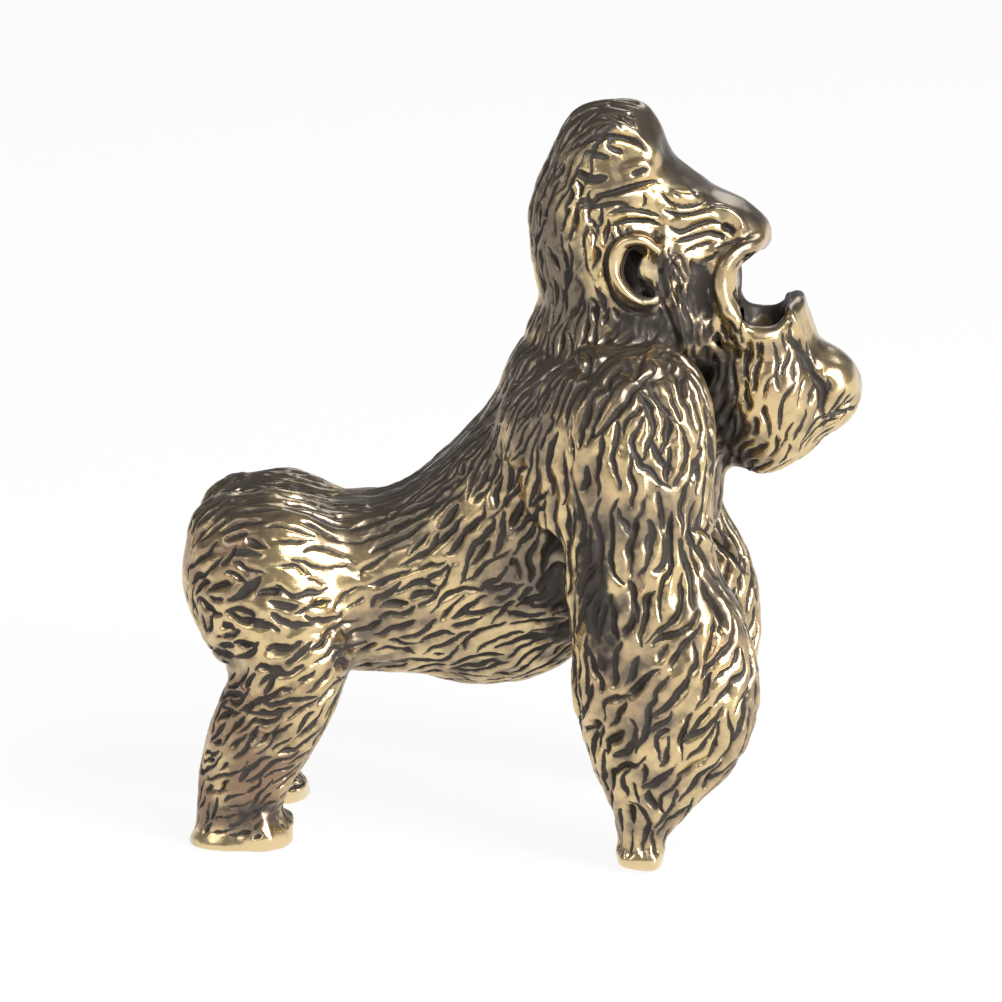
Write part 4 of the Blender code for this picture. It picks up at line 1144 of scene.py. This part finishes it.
def brass(name, bright, warm, tarnish_and_shade, rubbed, dull):
    """Cast brass: dark with patina in its cuts, dark in its hollows as patina and painted shade, under an
    uneven film that is darker on top partly as painted shade, except where hands have rubbed it, which is
    partly painted highlights.
    """
    material = bpy.data.materials.new(name)
    bench = Bench(material)
    place = bench.add("ShaderNodeTexCoord").outputs["Object"]
    cuts, shut, film_shade_and_highlight, coppery = (bench.value_at(key) for key in ("patina", "patina_and_shade", "film_and_shade", "copper"))
    broad = bench.grain(place, PATCHES, 3.0)
    tufted = bench.grain(place, BLOTCHES, 3.0, 0.6)
    middle = bench.grain(place, BREAKS, 2.0, 0.5)
    fine = bench.grain(place, GRAIN, 3.0)
    broken, blotched, patches = (bench.math("SUBTRACT", grain, 0.5) for grain in (middle, tufted, broad))

    # cuts keep the patina, unevenly, and hollows are painted dark too, as patina and painted shade
    kept = bench.spread(bench.more(cuts, (broken, 0.7), (blotched, 0.9)), *CUT_EDGE)
    kept = bench.math("MINIMUM", kept, bench.spread(cuts, 0.0, 0.25))
    hollow = bench.spread(bench.more(shut, (broken, 0.6), (blotched, 0.5)), *HOLLOW_SHADE_EDGE)
    dark = bench.math("MAXIMUM", kept, hollow)

    # the film lies thickest on top, partly as painted shade, and in the dips, and is broken where the brass
    # was rubbed, partly as painted highlights
    film_and_shade = bench.more(film_shade_and_highlight, (patches, 1.4), (broken, 0.6), (blotched, 0.9), (cuts, 0.35))
    film_and_shade = bench.spread(film_and_shade, rubbed + FILM_EDGE[0], rubbed + FILM_EDGE[1])

    metal = bench.mix(bench.spread(broad, 0.38, 0.66), bright, warm)
    coppery = bench.math("MULTIPLY", coppery, bench.spread(tufted, 0.34, 0.56))
    # the tarnish colour of the film, which on top is partly painted shade
    metal = bench.mix(film_and_shade, metal, tarnish_and_shade)
    metal = bench.mix(coppery, metal, COPPER)
    rough = bench.blend(bench.spread(fine, 0.3, 0.7), dull - 0.02, dull + 0.03)
    rough = bench.blend(film_and_shade, rough, dull + 0.10)
    relief = bench.more(middle, (fine, 0.25))
    bump = bench.add("ShaderNodeBump", Strength=0.3, Distance=GRAIN_RELIEF, Height=relief)
    shader = bench.add("ShaderNodeBsdfPrincipled", Base_Color=bench.mix(dark, metal, PATINA_AND_SHADE),
                       Metallic=bench.blend(dark, 1.0, 0.35), Roughness=bench.blend(dark, rough, DARK_ROUGH),
                       Coat_Weight=bench.blend(dark, 0.35, 0.10), Coat_Roughness=0.2,
                       Specular_IOR_Level=bench.blend(dark, 0.5, 0.3),
                       Specular_Tint=bench.mix(dark, (1, 1, 1, 1), DARK_GLINT), Normal=bump.outputs["Normal"])
    bench.add("ShaderNodeOutputMaterial", Surface=shader.outputs[0])
    material.diffuse_color = bright
    return material


def brasses():
    """The antique brass of the body, and the brass of the places worn smooth."""
    antique = brass("antique brass", bright=(0.75, 0.57, 0.295, 1), warm=(0.65, 0.46, 0.26, 1),
                    tarnish_and_shade=(0.192, 0.154, 0.110, 1), rubbed=0.50, dull=0.23)
    worn = brass("worn brass", bright=(0.80, 0.62, 0.34, 1), warm=(0.74, 0.56, 0.31, 1),
                 tarnish_and_shade=(0.28, 0.23, 0.16, 1), rubbed=0.66, dull=0.22)
    return antique, worn


# Putting it together

def chase(figure):
    """The fur and the face cut into the skin. Returns how shut in it was before the cuts, for the painted
    shade in its hollows.
    """
    points, normals = read_skin(figure.data)
    shell = shell_of(figure.data, points)
    corner_of = [face.vertices[0] for face in figure.data.polygons]
    hollows = recesses(points, normals, shell)
    starts = points
    refine(figure)
    points, normals = read_skin(figure.data)

    # broad tufts first, then a wide shallow groove under each stroke, then the strokes themselves
    chaser = Chaser(points, normals, shell)
    tufts = grow_fur(shell, corner_of, starts, seed=11, cell=1.8, scale=2.0, sway=0.5, meet=0.4)
    cut_fur(chaser, tufts, wide=3.2, deep=1.05, blunt=0.4, dark=0.0, step=0.14)
    broad = chaser.new_layer()
    strokes = grow_fur(shell, corner_of, starts, seed=5, cell=1.1, scale=0.88, sway=0.6, meet=0.85)
    cut_fur(chaser, strokes, wide=2.8, deep=0.75, blunt=0.2, dark=0.0, step=0.12)
    broad = broad + chaser.new_layer()
    cut_fur(chaser, strokes, wide=1.5, deep=1.1, blunt=0.3, dark=1.0, step=0.09)
    chase_lines(chaser)

    uneven = sum(ripple(points, length, seed) * height for length, seed, height in RIPPLES)
    moved = points + normals * (chaser.height + chaser.swelled - chaser.depth - broad + uneven)[:, None]
    mesh = figure.data
    write_skin(mesh, moved)
    keep_value(mesh, "patina", chaser.dark)
    keep_value(mesh, "dip", np.clip(broad / DIP_FULL, 0, 1))
    keep_value(mesh, "up", normals[:, 2])
    mesh.update()
    even_out(figure, 0.35, 1)
    thin = figure.modifiers.new("thin", "DECIMATE")
    thin.ratio = KEPT_SHARE
    thin.use_collapse_triangulate = True
    finish_modifiers(figure)
    return hollows


def make_figure():
    """The chased and weathered skin, cut back into one closed piece for each casting."""
    figure = braze_castings()
    hollows = chase(figure)
    mesh = figure.data
    points, normals = read_skin(mesh)
    patina, dip, up = (np.empty(len(points), np.float32) for _ in range(3))
    for key, value in (("patina", patina), ("dip", dip), ("up", up)):
        mesh.attributes[key].data.foreach_get("value", value)
    patina_and_shade, film_and_shade, copper = weather(points, normals, hollows, dip, up)
    kept = {"patina": patina, "patina_and_shade": patina_and_shade, "film_and_shade": film_and_shade, "copper": copper}
    names, label, rows = share_out(mesh, points)

    antique, worn = brasses()
    for k, name in enumerate(names):
        piece = part_piece("brass_" + name, rows[label == k], points, normals, kept)
        smooth = name in SMOOTH_NODES
        piece.data.materials.append(worn if smooth else antique)
        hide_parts(name)
        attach(piece, "root")
        assert len(piece.data.polygons) < MOST_TRIANGLES
    bpy.data.objects.remove(figure)


def make_floor():
    """The white table, which keeps the figure's shadow."""
    set_down_all()
    bpy.ops.mesh.primitive_circle_add(vertices=96, radius=FLOOR_REACH, fill_type="NGON", location=(0, 0, 0))
    floor = bpy.context.active_object
    floor.name = "floor"
    material = bpy.data.materials.new("white table")
    bench = Bench(material)
    place = bench.add("ShaderNodeTexCoord").outputs["Object"]
    tone = bench.mix(bench.grain(place, 3.0, 2.0), *FLOOR_TONES)
    matt = bench.add("ShaderNodeBsdfDiffuse", Color=tone)
    white = bench.add("ShaderNodeEmission", Color=(1, 1, 1, 1), Strength=1.0)
    rays = bench.add("ShaderNodeLightPath").outputs
    seen = bench.math("MAXIMUM", rays["Is Camera Ray"], rays["Is Glossy Ray"])
    seen = bench.math("MAXIMUM", seen, rays["Is Transmission Ray"])
    share = bench.math("MULTIPLY", seen, FLOOR_SEEN_WHITE)
    both = bench.add("ShaderNodeMixShader", i0=share, i1=matt.outputs[0], i2=white.outputs[0])
    bench.add("ShaderNodeOutputMaterial", Surface=both.outputs[0])
    floor.data.materials.append(material)


def make_light():
    """A studio sky, palest at the horizon, and the lamps."""
    world = bpy.data.worlds.new("studio")
    bpy.context.scene.world = world
    bench = Bench(world)
    way = bench.add("ShaderNodeTexCoord").outputs["Generated"]
    height = bench.add("ShaderNodeSeparateXYZ", Vector=way).outputs["Z"]
    ramp = bench.add("ShaderNodeValToRGB", Fac=height)
    stops = ramp.color_ramp.elements
    stops[0].position, stops[0].color = SKY_LOW
    stops[1].position, stops[1].color = SKY_TOP
    stops.new(SKY_BETWEEN[0]).color = SKY_BETWEEN[1]
    sky = bench.add("ShaderNodeBackground", Color=ramp.outputs[0], Strength=1.0)
    bench.add("ShaderNodeOutputWorld", Surface=sky.outputs[0])

    for name, turn, rise, reach, wide, tall, watts in LAMPS:
        lamp = bpy.data.lights.new(name, "AREA")
        lamp.shape = "ELLIPSE"
        lamp.size, lamp.size_y = wide, tall
        lamp.energy = watts
        away = heading(turn, rise)
        obj = put_on_bench(name, lamp)
        obj.location = SIGHT_AT * MM + away * reach
        obj.rotation_euler = away.to_track_quat("Z", "Y").to_euler()


def make_camera():
    """The camera where the eye is, on the middle of the figure."""
    camera = bpy.data.cameras.new("camera")
    camera.sensor_width = 36.0
    camera.lens = SIGHT_LENS
    camera.clip_start = 0.01
    camera.clip_end = 10.0
    obj = put_on_bench("camera", camera)
    obj.location = standpoint() * MM
    obj.rotation_euler = (standpoint() - SIGHT_AT).to_track_quat("Z", "Y").to_euler()
    bpy.context.scene.camera = obj


make_camera()
make_light()
make_floor()
make_figure()
bpy.context.scene.view_settings.view_transform = "Standard"
